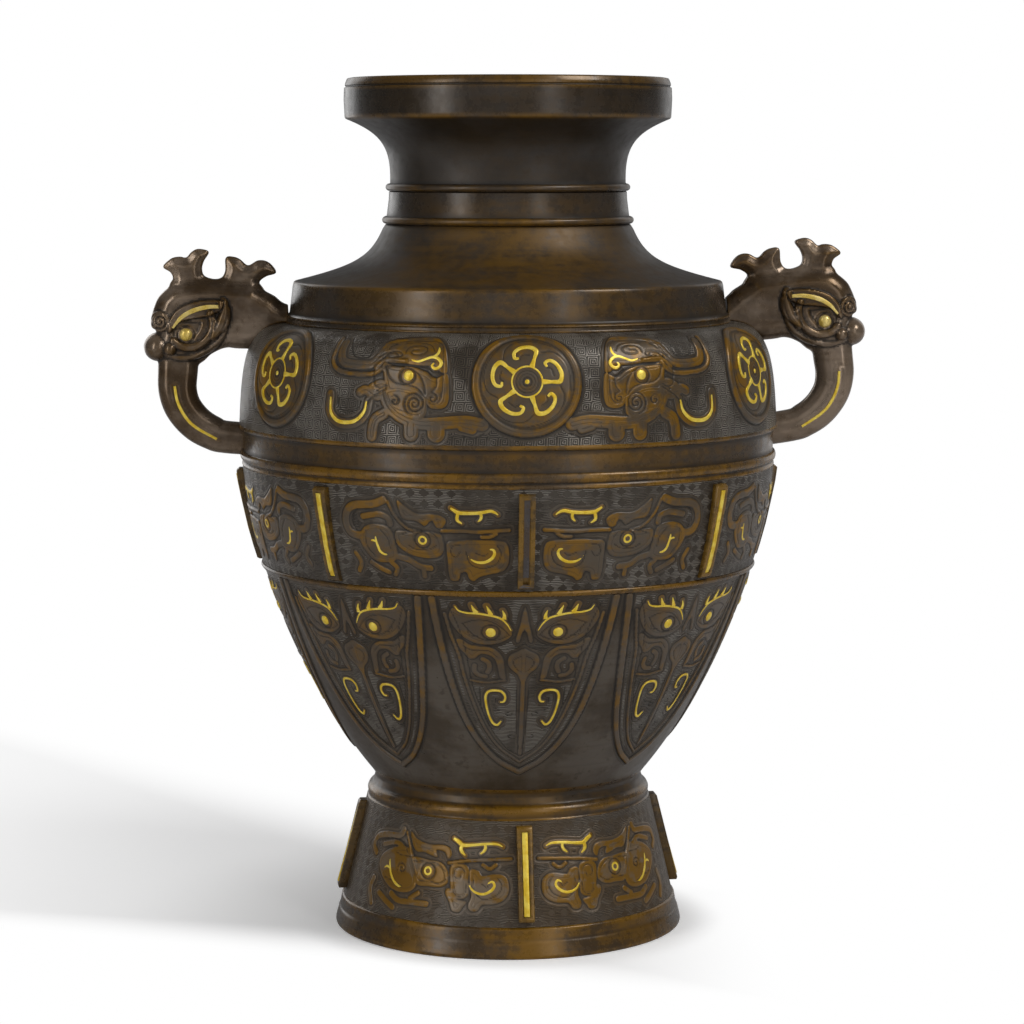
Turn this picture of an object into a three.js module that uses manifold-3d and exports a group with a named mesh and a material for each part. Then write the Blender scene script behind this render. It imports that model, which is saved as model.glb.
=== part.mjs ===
// Footed bronze vase with two bird-head handles and gold wire inlay.
// Millimetres, +Z up, front towards -Y, origin at the centre of the resting ring.
import * as THREE from "three";
import { mergeVertices } from "three/addons/utils/BufferGeometryUtils.js";
import Module from "manifold-3d";

const wasm = await Module();
wasm.setup();

// Casting sizes shared by every section.
const WALL = 4.5;
const GAP = 0.3;
const LAP = 2.2;
const FACETS = 40;

// Heights of the three soldered joints, and how far each spigot reaches past its joint.
const COLLAR_JOINT_Z = 285.8;
const WAIST_JOINT_Z = 221.0;
const FOOT_JOINT_Z = 75.0;
const COLLAR_SPIGOT = 6.0;
const WAIST_SPIGOT = 8.0;
const FOOT_SPIGOT = 9.0;
const COLLAR_SOCKET_R = 98.9;
const FOOT_SOCKET_R = 58.0;
const SOCKET_END_GAP = 0.5;

// Mouth and neck.
const TOP_Z = 398.9;
const MOUTH_R = 76.5;
const MOUTH_EDGE_R = 76.0;
const MOUTH_LOW_Z = 380.4;
const MOUTH_BORE_R = 70.2;
const MOUTH_BORE_LOW_Z = 387.0;
const LIP_R = 73.2;
const LIP_ROUND = 1.7;
const NECK_TOP = [55.05, 350.0];
const NECK_MID = [55.7, 343.0];
const NECK_LOW = [56.9, 333.4];
const BEAD_OUT = 2.1;
const BEAD_TALL = 3.6;
const COVE_PULL = [[59.62, 373.52], [54.49, 367.79]];
const FLARE_TOP = [58.7, 329.0];
const FLARE_PULL = [[64.63, 315.64], [71.72, 311.91]];
const COLLAR_TOP = [99.8, 304.8];
const COLLAR_EDGE = [100.5, 303.2];
const COLLAR_LOW = [102.4, 290.0];
const COLLAR_FILLET_R = 104.0;
const COLLAR_FILLET_TALL = 3.2;
const COLLAR_WALL = 6.4;

// Radius of the joint at the waist, which the shoulder, the belly, the bars and the handles follow.
const WAIST_EDGE_R = 124.9;

// Shoulder band and the waist moulding below it.
const SHOULDER_PULL = [[WAIST_EDGE_R - 1.7, 285.7], [WAIST_EDGE_R, 267.5]];
const BAND_LOW = [WAIST_EDGE_R + 1.3, 238.5];
const BAND_EDGE_TALL = 1.2;
const WAIST_TOP = [WAIST_EDGE_R - 0.2, 236.4];
const WAIST_LOW = [WAIST_EDGE_R - 0.4, 228.0];
const WAIST_BEAD_OUT = 0.8;
const WAIST_BEAD_TOP_Z = 226.2;
const WAIST_BEAD_LOW_Z = 222.2;

// Belly below the waist.
const BELLY_END_R = 65.2;
const BELLY_PULL = [[WAIST_EDGE_R - 2.3, 178.0], [BELLY_END_R + 31.2, 113.0]];

// Foot ring.
const FOOT_NECK = [63.2, 71.2];
const FOOT_BEAD_R = 66.9;
const FOOT_BEAD_TOP_Z = 66.6;
const FOOT_BEAD_LOW_Z = 61.6;
const FOOT_BAND_TOP = [67.2, 61.0];
const FOOT_BAND_LOW = [78.4, 14.0];
const PLINTH_TOP = [79.4, 13.0];
const PLINTH_MID = [80.9, 7.3];
const PLINTH_R = 82.5;
const PLINTH_ROUND = 1.2;
const REST_RING_INNER_R = 77.3;
const FOOT_HOLLOW_TOP = [62.4, 60.0];
const FOOT_TURN_DEG = 2.3;

// Floor plate dropped on a ledge inside the foot spigot.
const FLOOR_THICK = 4.0;
const FLOOR_LEDGE_WIDE = 3.6;
const FLOOR_LEDGE_TALL = 3.0;

// Bars that stand out of the belly and the foot, each with a gold strip let into its edge.
// An edge is written as distance out from the surface and height.
const BAR_WIDE = 7.2;
const BAR_SUNK = 1.6;
const BELLY_BARS = 8;
const FOOT_BARS = 4;
const BELLY_BAR_EDGE = [
  [1.8, 217.6], [3.3, 216.4], [3.1, 210.0], [2.7, 201.5], [2.5, 190.0],
  [2.3, 180.0], [2.2, 175.4], [1.3, 174.8],
];
const FOOT_BAR_EDGE = [[3.0, 59.2], [3.6, 58.2], [4.2, 18.2], [3.5, 17.0]];
const STRIP_WIDE = 2.6;
const STRIP_DEEP = 1.4;
const STRIP_PROUD = 0.15;
const STRIP_INSET = 1.6;
const INLAY_GAP = 0.2;

// Raised round medallions on the shoulder, with a five-armed gold whorl in each.
const MEDALLIONS = 6;
const MEDALLION_Z = 266.0;
const MEDALLION_R = 24.0;
const MEDALLION_RISE = 1.0;
const MEDALLION_RIM_RISE = 1.5;
const MEDALLION_RIM_WIDE = 3.2;
const MEDALLION_ROOT = 1.4;
const MEDALLION_SIDES = 16;
const WHORL_ARMS = 5;
const WHORL_RING_R = 6.6;
const WHORL_RING_WIDE = 0.8;
const WHORL_LOW = 0.3;
const WHORL_TOP = 1.1;
const WHORL_ARM = [[6.4, -0.1], [10.5, -0.2], [14.4, 0.0], [14.4, 3.6], [12.6, 7.4], [9.8, 9.2], [7.9, 7.6]];
const WHORL_ARM_WIDE = [2.8, 1.4, 2.0, 1.8, 1.6, 1.6, 1.1];

// Gold in the four beasts between the medallions: distances from the beast's own centre.
const BEAST_DEG = [30, 150, 210, 330];
const BEAST_Z = 266.0;
const BEAST_GOLD_LOW = -0.9;
const BEAST_GOLD_TOP = 0.35;
const BEAST_EYE = [-12.4, 2.2];
const BEAST_EYE_R = 2.3;
const BEAST_BROW = [[-12.2, 8.3], [-18.0, 9.4], [-23.4, 10.6], [-25.4, 11.6], [-25.2, 16.2]];
const BEAST_BROW_WIDE = [1.0, 1.5, 1.7, 1.5, 0.8];
const BEAST_BROW_CURL = [[-23.6, 10.4], [-26.6, 10.2], [-27.2, 7.6], [-25.0, 6.4], [-24.0, 7.8]];
const BEAST_BROW_CURL_WIDE = [1.4, 1.6, 1.5, 1.3, 0.8];
const BEAST_HORN = [[26.6, -8.4], [26.0, -15.2], [21.4, -18.9], [13.6, -18.6], [8.6, -14.6], [7.2, -9.6]];
const BEAST_HORN_WIDE = [0.9, 1.7, 2.0, 2.0, 1.7, 0.9];

// Raised edges of the blades that hang round the belly: half of one, from its top to its point.
const BLADES = 8;
const BLADE_Z = 130.0;
const BLADE_LOW = -1.0;
const BLADE_RISE = 0.8;
const BLADE_EDGE_WIDE = 2.2;
const BLADE_EDGE = [[-35.9, 42.0], [-34.2, 18.0], [-30.9, -5.0], [-24.4, -28.0], [-12.6, -44.1]];
const BLADE_POINT = [0.0, -51.8];

// Bird-head handles: outlines in the handle's own plane, as distance out from the waist radius and height.
const HEAD_OUTLINE = [
  [-40.0, 293.6], [-22.3, 293.8], [-15.4, 298.0], [-9.7, 301.0], [-5.9, 303.4], [3.1, 304.4],
  [13.9, 305.2], [25.1, 304.6], [31.8, 303.0], [37.1, 298.8], [39.5, 295.0], [41.7, 288.0],
  [41.5, 283.6], [39.5, 281.6], [41.1, 274.0], [37.7, 268.4], [31.1, 266.2], [19.7, 266.6],
  [13.6, 271.2], [6.9, 273.9], [-1.9, 273.4], [-40.0, 273.4],
];
// Degrees that each head is set above level, about a point inside the shoulder.
const HANDLE_TILTS = { right: 4.0, left: 0.0 };
const HANDLE_TILT_PIVOT = [-49.0, 262.0];
const HEAD_THICK = 17.0;
const HEAD_BEVEL = 2.6;
const CREST_OUTLINE = [
  [25.1, 298.0], [32.1, 303.0], [31.4, 306.3], [32.6, 309.1], [36.0, 311.7], [32.1, 315.5],
  [28.1, 316.3], [25.3, 315.9], [22.5, 318.7], [19.3, 319.9], [14.7, 318.5], [17.0, 314.2],
  [17.9, 310.7], [17.0, 307.4], [13.9, 305.4], [11.5, 305.0], [9.0, 306.2], [7.2, 309.8],
  [6.9, 315.8], [3.3, 316.2], [0.2, 315.0], [-3.4, 312.2], [-7.8, 314.4], [-11.8, 314.2],
  [-15.0, 311.8], [-16.4, 308.6], [-11.8, 307.0], [-8.5, 304.2], [-9.3, 300.6], [-0.9, 297.0],
];
const CREST_THICK = 7.0;
const BEAK_CENTRE = [38.2, 274.8];
const BEAK_R = 6.3;
const BEAK_STRETCH = 1.35;
const NOSTRIL_CENTRE = [32.7, 273.6];
const NOSTRIL_R = 2.5;
const LOOP_PATH = [
  [29.1, 274.0], [29.6, 264.0], [30.0, 255.5], [28.5, 248.4], [25.3, 242.8], [20.5, 237.8],
  [14.5, 234.2], [7.9, 232.0], [-14.0, 230.4],
];
const LOOP_WIDE = [19.0, 18.6, 18.0, 17.4, 17.0, 16.6, 16.0, 15.2, 15.0];
const LOOP_THICK = 14.0;
const LOOP_SIDES = 10;
const LOOP_SQUARENESS = 0.72;
const BROW_PATH = [[31.5, 283.6], [27.7, 288.2], [22.5, 291.4], [15.3, 293.3], [6.5, 293.4]];
const BROW_RIDGE_WIDE = [2.6, 4.2, 4.8, 4.4, 2.4];
const BROW_RISE = 1.6;
const BROW_GOLD_WIDE = [0.9, 1.7, 1.9, 1.7, 1.1];
const CHEEK_PATH = [[6.7, 290.6], [6.1, 283.0], [9.3, 276.6], [16.5, 271.2], [25.5, 269.2]];
const CHEEK_WIDE = [1.6, 3.4, 3.8, 3.4, 1.8];
const CHEEK_RISE = 1.0;
const HANDLE_EYE = [25.5, 280.4];
const HANDLE_EYE_R = 3.0;
const HANDLE_EYE_PROUD = 1.7;
const LOOP_GOLD_PATH = [[31.0, 256.4], [29.8, 249.4], [26.4, 242.4], [21.4, 237.2], [11.7, 231.6]];
const LOOP_GOLD_WIDE = [1.4, 1.6, 1.7, 1.6, 1.4];
const TENON_HEIGHTS = [[274.6, 280.4], [227.6, 234.4]];
const TENON_IN = 5.4;
const TENON_OUT = 7.4;
const TENON_THICK = 8.0;
const ENVELOPE_TOP_Z = 304.0;
const ENVELOPE_LOW_Z = 214.0;

const FINISH = {
  bronze: { color: 0x3f3730, roughness: 0.42, metalness: 0.85 },
  rubbed: { color: 0x5a4626, roughness: 0.38, metalness: 0.85 },
  gold: { color: 0xd2a73a, roughness: 0.28, metalness: 0.95 },
};

const vase = new THREE.Group();
vase.name = "inlaid_bronze_vase";

// Solid helpers.

function solid(geometry) {
  const bare = geometry.index ? geometry.toNonIndexed() : geometry.clone();
  bare.deleteAttribute("normal");
  bare.deleteAttribute("uv");
  const merged = mergeVertices(bare, 1e-4);
  return new wasm.Manifold(
    new wasm.Mesh({
      numProp: 3,
      vertProperties: merged.attributes.position.array,
      triVerts: new Uint32Array(merged.index.array),
    }),
  );
}

function join(parts) {
  return parts.reduce((whole, part) => whole.add(part));
}

function cut(whole, tools) {
  return tools.reduce((left, tool) => left.subtract(tool), whole);
}

// The same solid with each vertex moved by place(x, y, z); a mirroring place turns the faces back.
function bent(body, place, mirrored) {
  const mesh = body.getMesh();
  const moved = new Float32Array(mesh.numVert * 3);
  for (let i = 0; i < mesh.numVert; i++) {
    const [x, y, z] = mesh.vertProperties.subarray(i * mesh.numProp, i * mesh.numProp + 3);
    moved.set(place(x, y, z), i * 3);
  }
  const faces = new Uint32Array(mesh.triVerts);
  if (mirrored) {
    for (let i = 0; i < faces.length; i += 3) {
      [faces[i + 1], faces[i + 2]] = [faces[i + 2], faces[i + 1]];
    }
  }
  return new wasm.Manifold(new wasm.Mesh({ numProp: 3, vertProperties: moved, triVerts: faces }));
}

function addPiece(name, body, finish) {
  const mesh = body.getMesh();
  const positions = new Float32Array(mesh.numVert * 3);
  for (let i = 0; i < mesh.numVert; i++) {
    positions.set(mesh.vertProperties.subarray(i * mesh.numProp, i * mesh.numProp + 3), i * 3);
  }
  const geometry = new THREE.BufferGeometry();
  geometry.setAttribute("position", new THREE.BufferAttribute(positions, 3));
  geometry.setIndex(new THREE.BufferAttribute(mesh.triVerts, 1));
  geometry.computeVertexNormals();
  const piece = new THREE.Mesh(geometry, new THREE.MeshStandardMaterial(FINISH[finish]));
  piece.name = name;
  vase.add(piece);
}

function bezier(start, pulls, end, steps) {
  const curve = new THREE.CubicBezierCurve(
    ...[start, ...pulls, end].map(([r, z]) => new THREE.Vector2(r, z)),
  );
  return curve.getPoints(steps).map((p) => [p.x, p.y]);
}

function smooth(points, steps) {
  const curve = new THREE.SplineCurve(points.map(([x, y]) => new THREE.Vector2(x, y)));
  return curve.getPoints(steps).map((p) => [p.x, p.y]);
}

function everySecond(points) {
  return points.filter((_, i) => i % 2 === 1);
}

// The line beside a polyline, at a distance to its left.
function beside(points, distance) {
  return points.map(([x, y], i) => {
    const before = points[Math.max(i - 1, 0)];
    const after = points[Math.min(i + 1, points.length - 1)];
    const length = Math.hypot(after[0] - before[0], after[1] - before[1]);
    const side = typeof distance === "number" ? distance : distance[i];
    return [
      x - (side * (after[1] - before[1])) / length,
      y + (side * (after[0] - before[0])) / length,
    ];
  });
}

// A profile of [radius, height] points turned about the vertical axis.
function turned(profile, facets = FACETS) {
  const points = [...profile, profile[0]].map(([r, z]) => new THREE.Vector2(r, z));
  if (THREE.ShapeUtils.isClockWise(points)) points.reverse();
  return solid(new THREE.LatheGeometry(points, facets).rotateX(Math.PI / 2));
}

// A flat outline given a thickness; a full circle in it gets twice curveSegments sides.
function slab(shape, low, high, curveSegments = 5) {
  const geometry = new THREE.ExtrudeGeometry(shape, {
    depth: high - low,
    bevelEnabled: false,
    curveSegments,
  });
  return solid(geometry.translate(0, 0, low));
}

// A strip of changing width along a centre line, as a flat outline.
function stripShape(path, widths, steps, grow = 0) {
  const line = smooth(path, steps);
  const halves = line.map((_, i) => {
    const at = (i / steps) * (widths.length - 1);
    const k = Math.min(Math.floor(at), widths.length - 2);
    return THREE.MathUtils.lerp(widths[k], widths[k + 1], at - k) / 2 + grow;
  });
  const left = beside(line, halves);
  const right = beside(line, halves.map((h) => -h)).reverse();
  return new THREE.Shape([...left, ...right].map(([x, y]) => new THREE.Vector2(x, y)));
}

function discShape(x, y, radius) {
  const shape = new THREE.Shape();
  shape.absarc(x, y, radius, 0, 2 * Math.PI, false);
  return shape;
}

function block(low, high) {
  const size = high.map((v, i) => v - low[i]);
  const centre = high.map((v, i) => (v + low[i]) / 2);
  return solid(new THREE.BoxGeometry(...size).translate(...centre));
}

function spun(body, degrees) {
  return body.rotate([0, 0, degrees]);
}

// Maps flat ornament onto a turned surface: across and up along it, and out from it.
class Chart {
  constructor(profile, originZ, degrees, mirrored = false) {
    this.profile = profile;
    this.turn = THREE.MathUtils.degToRad(degrees);
    this.mirrored = mirrored;
    this.along = [0];
    for (let i = 1; i < profile.length; i++) {
      const step = Math.hypot(
        profile[i][0] - profile[i - 1][0],
        profile[i][1] - profile[i - 1][1],
      );
      this.along.push(this.along[i - 1] + step);
    }
    const k = profile.findIndex(([, z]) => z <= originZ);
    const share = (profile[k - 1][1] - originZ) / (profile[k - 1][1] - profile[k][1]);
    this.origin = THREE.MathUtils.lerp(this.along[k - 1], this.along[k], share);
    this.radius = THREE.MathUtils.lerp(profile[k - 1][0], profile[k][0], share);
  }

  place(u, v, h) {
    const at = this.origin - v;
    const last = this.profile.length - 1;
    const k = Math.min(Math.max(this.along.findIndex((s) => s >= at), 1), last);
    const [r0, z0] = this.profile[k - 1];
    const [r1, z1] = this.profile[k];
    const length = this.along[k] - this.along[k - 1];
    const share = (at - this.along[k - 1]) / length;
    const r = r0 + share * (r1 - r0) + (h * (z0 - z1)) / length;
    const z = z0 + share * (z1 - z0) + (h * (r1 - r0)) / length;
    const angle = this.turn + (this.mirrored ? -u : u) / this.radius;
    return [r * Math.sin(angle), -r * Math.cos(angle), z];
  }

  lay(body) {
    return bent(body, (x, y, z) => this.place(x, y, z), this.mirrored);
  }
}

// Profiles shared by the sections and by what is set into them.

const coveLine = bezier([MOUTH_EDGE_R - 0.4, MOUTH_LOW_Z - 0.4], COVE_PULL, NECK_TOP, 5);
const flareLine = bezier(FLARE_TOP, FLARE_PULL, COLLAR_TOP, 6);
const shoulderLine = bezier([COLLAR_FILLET_R, COLLAR_JOINT_Z], SHOULDER_PULL, BAND_LOW, 8);
const bellyLine = bezier([WAIST_EDGE_R, WAIST_JOINT_Z], BELLY_PULL, [BELLY_END_R, FOOT_JOINT_Z], 10);
const waistLine = [
  [BAND_LOW[0] - 0.1, BAND_LOW[1] - BAND_EDGE_TALL],
  WAIST_TOP,
  WAIST_LOW,
  [WAIST_EDGE_R + WAIST_BEAD_OUT, WAIST_BEAD_TOP_Z],
  [WAIST_EDGE_R + WAIST_BEAD_OUT, WAIST_BEAD_LOW_Z],
  [WAIST_EDGE_R, WAIST_JOINT_Z],
];

function bead([r, z]) {
  const out = r + BEAD_OUT;
  return [
    [r, z],
    [out, z - BEAD_TALL * 0.35],
    [out, z - BEAD_TALL * 0.65],
    [r + 0.3, z - BEAD_TALL],
  ];
}

function mouthNeck() {
  const spigotR = COLLAR_SOCKET_R - GAP;
  const outer = [
    [LIP_R, TOP_Z],
    [LIP_R + LIP_ROUND, TOP_Z - 0.3],
    [MOUTH_R - 0.3, TOP_Z - 2 * LIP_ROUND],
    [MOUTH_R, TOP_Z - 10],
    [MOUTH_EDGE_R, MOUTH_LOW_Z],
    ...coveLine,
    ...bead([NECK_TOP[0] + 0.1, NECK_TOP[1] - 1.4]),
    NECK_MID,
    ...bead([NECK_LOW[0], NECK_LOW[1] - 0.2]),
    ...flareLine,
    COLLAR_EDGE,
    COLLAR_LOW,
    [COLLAR_FILLET_R, COLLAR_JOINT_Z + COLLAR_FILLET_TALL],
    [COLLAR_FILLET_R, COLLAR_JOINT_Z],
    [spigotR, COLLAR_JOINT_Z],
    [spigotR, COLLAR_JOINT_Z - COLLAR_SPIGOT],
  ];
  const boreLine = beside([...everySecond(coveLine), NECK_MID, ...everySecond(flareLine)], -WALL);
  const inner = [
    [spigotR - LAP * 1.5, COLLAR_JOINT_Z - COLLAR_SPIGOT],
    [COLLAR_LOW[0] - COLLAR_WALL, COLLAR_JOINT_Z + 2],
    [COLLAR_EDGE[0] - COLLAR_WALL, COLLAR_EDGE[1] - WALL],
    ...boreLine.reverse(),
    [MOUTH_BORE_R, MOUTH_BORE_LOW_Z],
    [MOUTH_BORE_R, TOP_Z - LIP_ROUND],
  ];
  return turned([...outer, ...inner]);
}

function shoulderBlank() {
  const spigotR = WAIST_EDGE_R - LAP - GAP;
  const inside = beside(everySecond(shoulderLine), -WALL).reverse();
  return turned([
    [COLLAR_SOCKET_R, COLLAR_JOINT_Z],
    ...shoulderLine,
    ...waistLine,
    [spigotR, WAIST_JOINT_Z],
    [spigotR, WAIST_JOINT_Z - WAIST_SPIGOT],
    [spigotR - LAP, WAIST_JOINT_Z - WAIST_SPIGOT],
    [spigotR - LAP, WAIST_LOW[1]],
    ...inside,
    [COLLAR_SOCKET_R, COLLAR_JOINT_Z - WALL],
  ]);
}

function bellyBlank() {
  const socketR = WAIST_EDGE_R - LAP;
  const socketEnd = WAIST_JOINT_Z - WAIST_SPIGOT - SOCKET_END_GAP;
  const spigotR = FOOT_SOCKET_R - GAP;
  const spigotEnd = FOOT_JOINT_Z - FOOT_SPIGOT;
  const ledgeZ = spigotEnd + FLOOR_LEDGE_TALL;
  const inside = beside(everySecond(bellyLine), -WALL).filter(
    ([, z]) => z < socketEnd - 1 && z > FOOT_JOINT_Z + 2,
  );
  return turned([
    [socketR, WAIST_JOINT_Z],
    ...bellyLine,
    [spigotR, FOOT_JOINT_Z],
    [spigotR, spigotEnd],
    [spigotR - WALL - FLOOR_LEDGE_WIDE, spigotEnd],
    [spigotR - WALL - FLOOR_LEDGE_WIDE, ledgeZ],
    [spigotR - WALL, ledgeZ],
    [spigotR - WALL, FOOT_JOINT_Z + 1],
    ...inside.reverse(),
    [socketR - LAP, socketEnd],
    [socketR, socketEnd],
  ]);
}

function floorPlate() {
  const ledgeZ = FOOT_JOINT_Z - FOOT_SPIGOT + FLOOR_LEDGE_TALL;
  const radius = FOOT_SOCKET_R - GAP - WALL - GAP;
  return turned([
    [0, ledgeZ],
    [radius, ledgeZ],
    [radius, ledgeZ + FLOOR_THICK],
    [0, ledgeZ + FLOOR_THICK],
  ]);
}

function footBlank() {
  return turned([
    [FOOT_SOCKET_R, FOOT_JOINT_Z],
    [BELLY_END_R, FOOT_JOINT_Z],
    [FOOT_NECK[0] + 0.4, FOOT_NECK[1] + 1.6],
    FOOT_NECK,
    [FOOT_NECK[0] + 1.0, FOOT_NECK[1] - 3.2],
    [FOOT_BEAD_R - 0.8, FOOT_BEAD_TOP_Z],
    [FOOT_BEAD_R, (FOOT_BEAD_TOP_Z + FOOT_BEAD_LOW_Z) / 2 + 0.8],
    [FOOT_BEAD_R - 0.5, FOOT_BEAD_LOW_Z],
    FOOT_BAND_TOP,
    FOOT_BAND_LOW,
    PLINTH_TOP,
    PLINTH_MID,
    [PLINTH_R, PLINTH_ROUND],
    [PLINTH_R - 0.3, 0],
    [REST_RING_INNER_R, 0],
    [FOOT_BAND_LOW[0] - WALL, FOOT_BAND_LOW[1]],
    FOOT_HOLLOW_TOP,
    [FOOT_SOCKET_R, FOOT_HOLLOW_TOP[1] + WALL],
  ]);
}

// Standing bars, their seats and their gold strips. Each is made at the front and spun into place.

function frontPrism(outline, wide) {
  const shape = new THREE.Shape(outline.map(([r, z]) => new THREE.Vector2(r, z)));
  const body = slab(shape, -wide / 2, wide / 2);
  return bent(body, (r, z, across) => [across, -r, z], true);
}

function barBody(edge, rootLine, grow) {
  const root = [...rootLine].reverse().map(([r, z]) => [r - BAR_SUNK - grow, z]);
  const outline = [...edge, ...root];
  const top = Math.max(...outline.map(([, z]) => z));
  const low = Math.min(...outline.map(([, z]) => z));
  const grown = outline.map(([r, z]) => {
    if (z > top - 2) return [r, z + grow];
    if (z < low + 2) return [r, z - grow];
    return [r, z];
  });
  return frontPrism(grown, BAR_WIDE + 2 * grow);
}

function stripBody(edge, grow) {
  const inner = edge.slice(1, -1);
  const line = inner.map(([r, z], i) => {
    if (i === 0) return [r, z - STRIP_INSET + grow];
    if (i === inner.length - 1) return [r, z + STRIP_INSET - grow];
    return [r, z];
  });
  const proud = grow ? 3 : STRIP_PROUD;
  const face = line.map(([r, z]) => [r + proud, z]);
  const back = line.map(([r, z]) => [r - STRIP_DEEP - grow, z]).reverse();
  return frontPrism([...face, ...back], STRIP_WIDE + 2 * grow);
}

function rootOf(profile, edge) {
  const top = edge[0][1];
  const low = edge[edge.length - 1][1];
  const heights = [top, (2 * top + low) / 3, (top + 2 * low) / 3, low];
  return heights.map((z) => [radiusAt(profile, z), z]);
}

function radiusAt(profile, z) {
  const k = profile.findIndex((p) => p[1] <= z);
  const [r0, z0] = profile[k - 1];
  const [r1, z1] = profile[k];
  return THREE.MathUtils.lerp(r0, r1, (z0 - z) / (z0 - z1));
}

// An edge written as distance out from a surface, as radius and height.
function outFrom(profile, edge) {
  return edge.map(([out, z]) => [radiusAt(profile, z) + out, z]);
}

function addBars(kind, count, edge, profile, startDeg, withoutGold) {
  const root = rootOf(profile, edge);
  const bar = cut(barBody(edge, root, 0), [stripBody(edge, INLAY_GAP)]);
  const strip = stripBody(edge, 0);
  const seats = [];
  for (let i = 0; i < count; i++) {
    const degrees = startDeg + (360 / count) * i;
    addPiece(`${kind}_bar_${i + 1}`, spun(bar, degrees), "rubbed");
    if (!withoutGold.includes(i)) {
      addPiece(`${kind}_bar_${i + 1}_gold_strip`, spun(strip, degrees), "gold");
    }
    seats.push(spun(barBody(edge, root, GAP), degrees));
  }
  return seats;
}

// Medallions with their whorls.

// The groove for the gold is cut while the medallion is flat, and bent onto the shoulder with it.
function medallionFlat() {
  const fieldR = MEDALLION_R - MEDALLION_RIM_WIDE;
  const profile = [
    [0, -MEDALLION_ROOT],
    [MEDALLION_R, -MEDALLION_ROOT],
    [MEDALLION_R, MEDALLION_RIM_RISE * 0.6],
    [MEDALLION_R - 0.7, MEDALLION_RIM_RISE],
    [fieldR + 0.5, MEDALLION_RIM_RISE],
    [fieldR, MEDALLION_RISE],
    [0, MEDALLION_RISE],
  ];
  return cut(turned(profile, MEDALLION_SIDES), [whorlFlat(INLAY_GAP)]);
}

function whorlFlat(grow) {
  const low = WHORL_LOW - grow;
  const high = grow ? MEDALLION_RIM_RISE + 2 : WHORL_TOP;
  const half = WHORL_RING_WIDE / 2 + grow;
  const ring = discShape(0, 0, WHORL_RING_R + half);
  const hole = new THREE.Path();
  hole.absarc(0, 0, WHORL_RING_R - half, 0, 2 * Math.PI, true);
  ring.holes.push(hole);
  const arm = slab(stripShape(WHORL_ARM, WHORL_ARM_WIDE, 5, grow), low, high);
  const arms = [];
  for (let i = 0; i < WHORL_ARMS; i++) {
    arms.push(spun(arm, (360 / WHORL_ARMS) * i));
  }
  return join([slab(ring, low, high, 6), ...arms]);
}

function addMedallions(blank) {
  const flat = medallionFlat();
  const gold = whorlFlat(0);
  const raised = [];
  for (let i = 0; i < MEDALLIONS; i++) {
    const chart = new Chart(shoulderLine, MEDALLION_Z, (360 / MEDALLIONS) * i);
    raised.push(chart.lay(flat));
    addPiece(`medallion_${i + 1}_gold_whorl`, chart.lay(gold), "gold");
  }
  return join([blank, ...raised]);
}

// Gold eyes, brows and horns of the four shoulder beasts.

function beastInlays(grow) {
  const low = BEAST_GOLD_LOW - grow;
  const high = grow ? 4 : BEAST_GOLD_TOP;
  const brow = slab(stripShape(BEAST_BROW, BEAST_BROW_WIDE, 4, grow), low, high);
  const curl = slab(stripShape(BEAST_BROW_CURL, BEAST_BROW_CURL_WIDE, 4, grow), low, high);
  return {
    eye: slab(discShape(...BEAST_EYE, BEAST_EYE_R + grow), low, high),
    brow: join([brow, curl]),
    horn: slab(stripShape(BEAST_HORN, BEAST_HORN_WIDE, 6, grow), low, high),
  };
}

function addBeastGold(blank) {
  const gold = beastInlays(0);
  const groove = beastInlays(INLAY_GAP);
  const tools = [];
  BEAST_DEG.forEach((degrees, i) => {
    const mirrored = degrees === 150 || degrees === 330;
    const chart = new Chart(shoulderLine, BEAST_Z, degrees, mirrored);
    for (const kind of Object.keys(gold)) {
      addPiece(`shoulder_beast_${i + 1}_gold_${kind}`, chart.lay(gold[kind]), "gold");
      tools.push(chart.lay(groove[kind]));
    }
  });
  return cut(blank, tools);
}

// Raised edges of the belly's blades.

function addBlades(blank) {
  const path = [...BLADE_EDGE, BLADE_POINT, ...BLADE_EDGE.map(([u, v]) => [-u, v]).reverse()];
  const widths = [BLADE_EDGE_WIDE, BLADE_EDGE_WIDE];
  const edge = slab(stripShape(path, widths, path.length - 1), BLADE_LOW, BLADE_RISE);
  const raised = [];
  for (let i = 0; i < BLADES; i++) {
    raised.push(new Chart(bellyLine, BLADE_Z, (360 / BLADES) * i).lay(edge));
  }
  return join([blank, ...raised]);
}

// Handles. They are modelled in the plane of the +X handle and spun half a turn for the other.

function sidePrism(shape, low, high) {
  return bent(slab(shape, low, high), (r, z, across) => [r, -across, z], false);
}

function rounded(outline, thick, bevel, bevelSegments) {
  const shape = new THREE.Shape(outline.map(([r, z]) => new THREE.Vector2(r, z)));
  const geometry = new THREE.ExtrudeGeometry(shape, {
    depth: thick - 2 * bevel,
    bevelEnabled: true,
    bevelThickness: bevel,
    bevelSize: bevel,
    bevelOffset: -bevel,
    bevelSegments,
  });
  const body = solid(geometry.translate(0, 0, bevel - thick / 2));
  return bent(body, (r, z, across) => [r, -across, z], false);
}

function ball([r, z], across, radius, stretch, sides) {
  const geometry = new THREE.SphereGeometry(radius, sides, sides / 2 + 2);
  return solid(geometry.scale(1, stretch, 1).translate(r, across, z));
}

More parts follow.
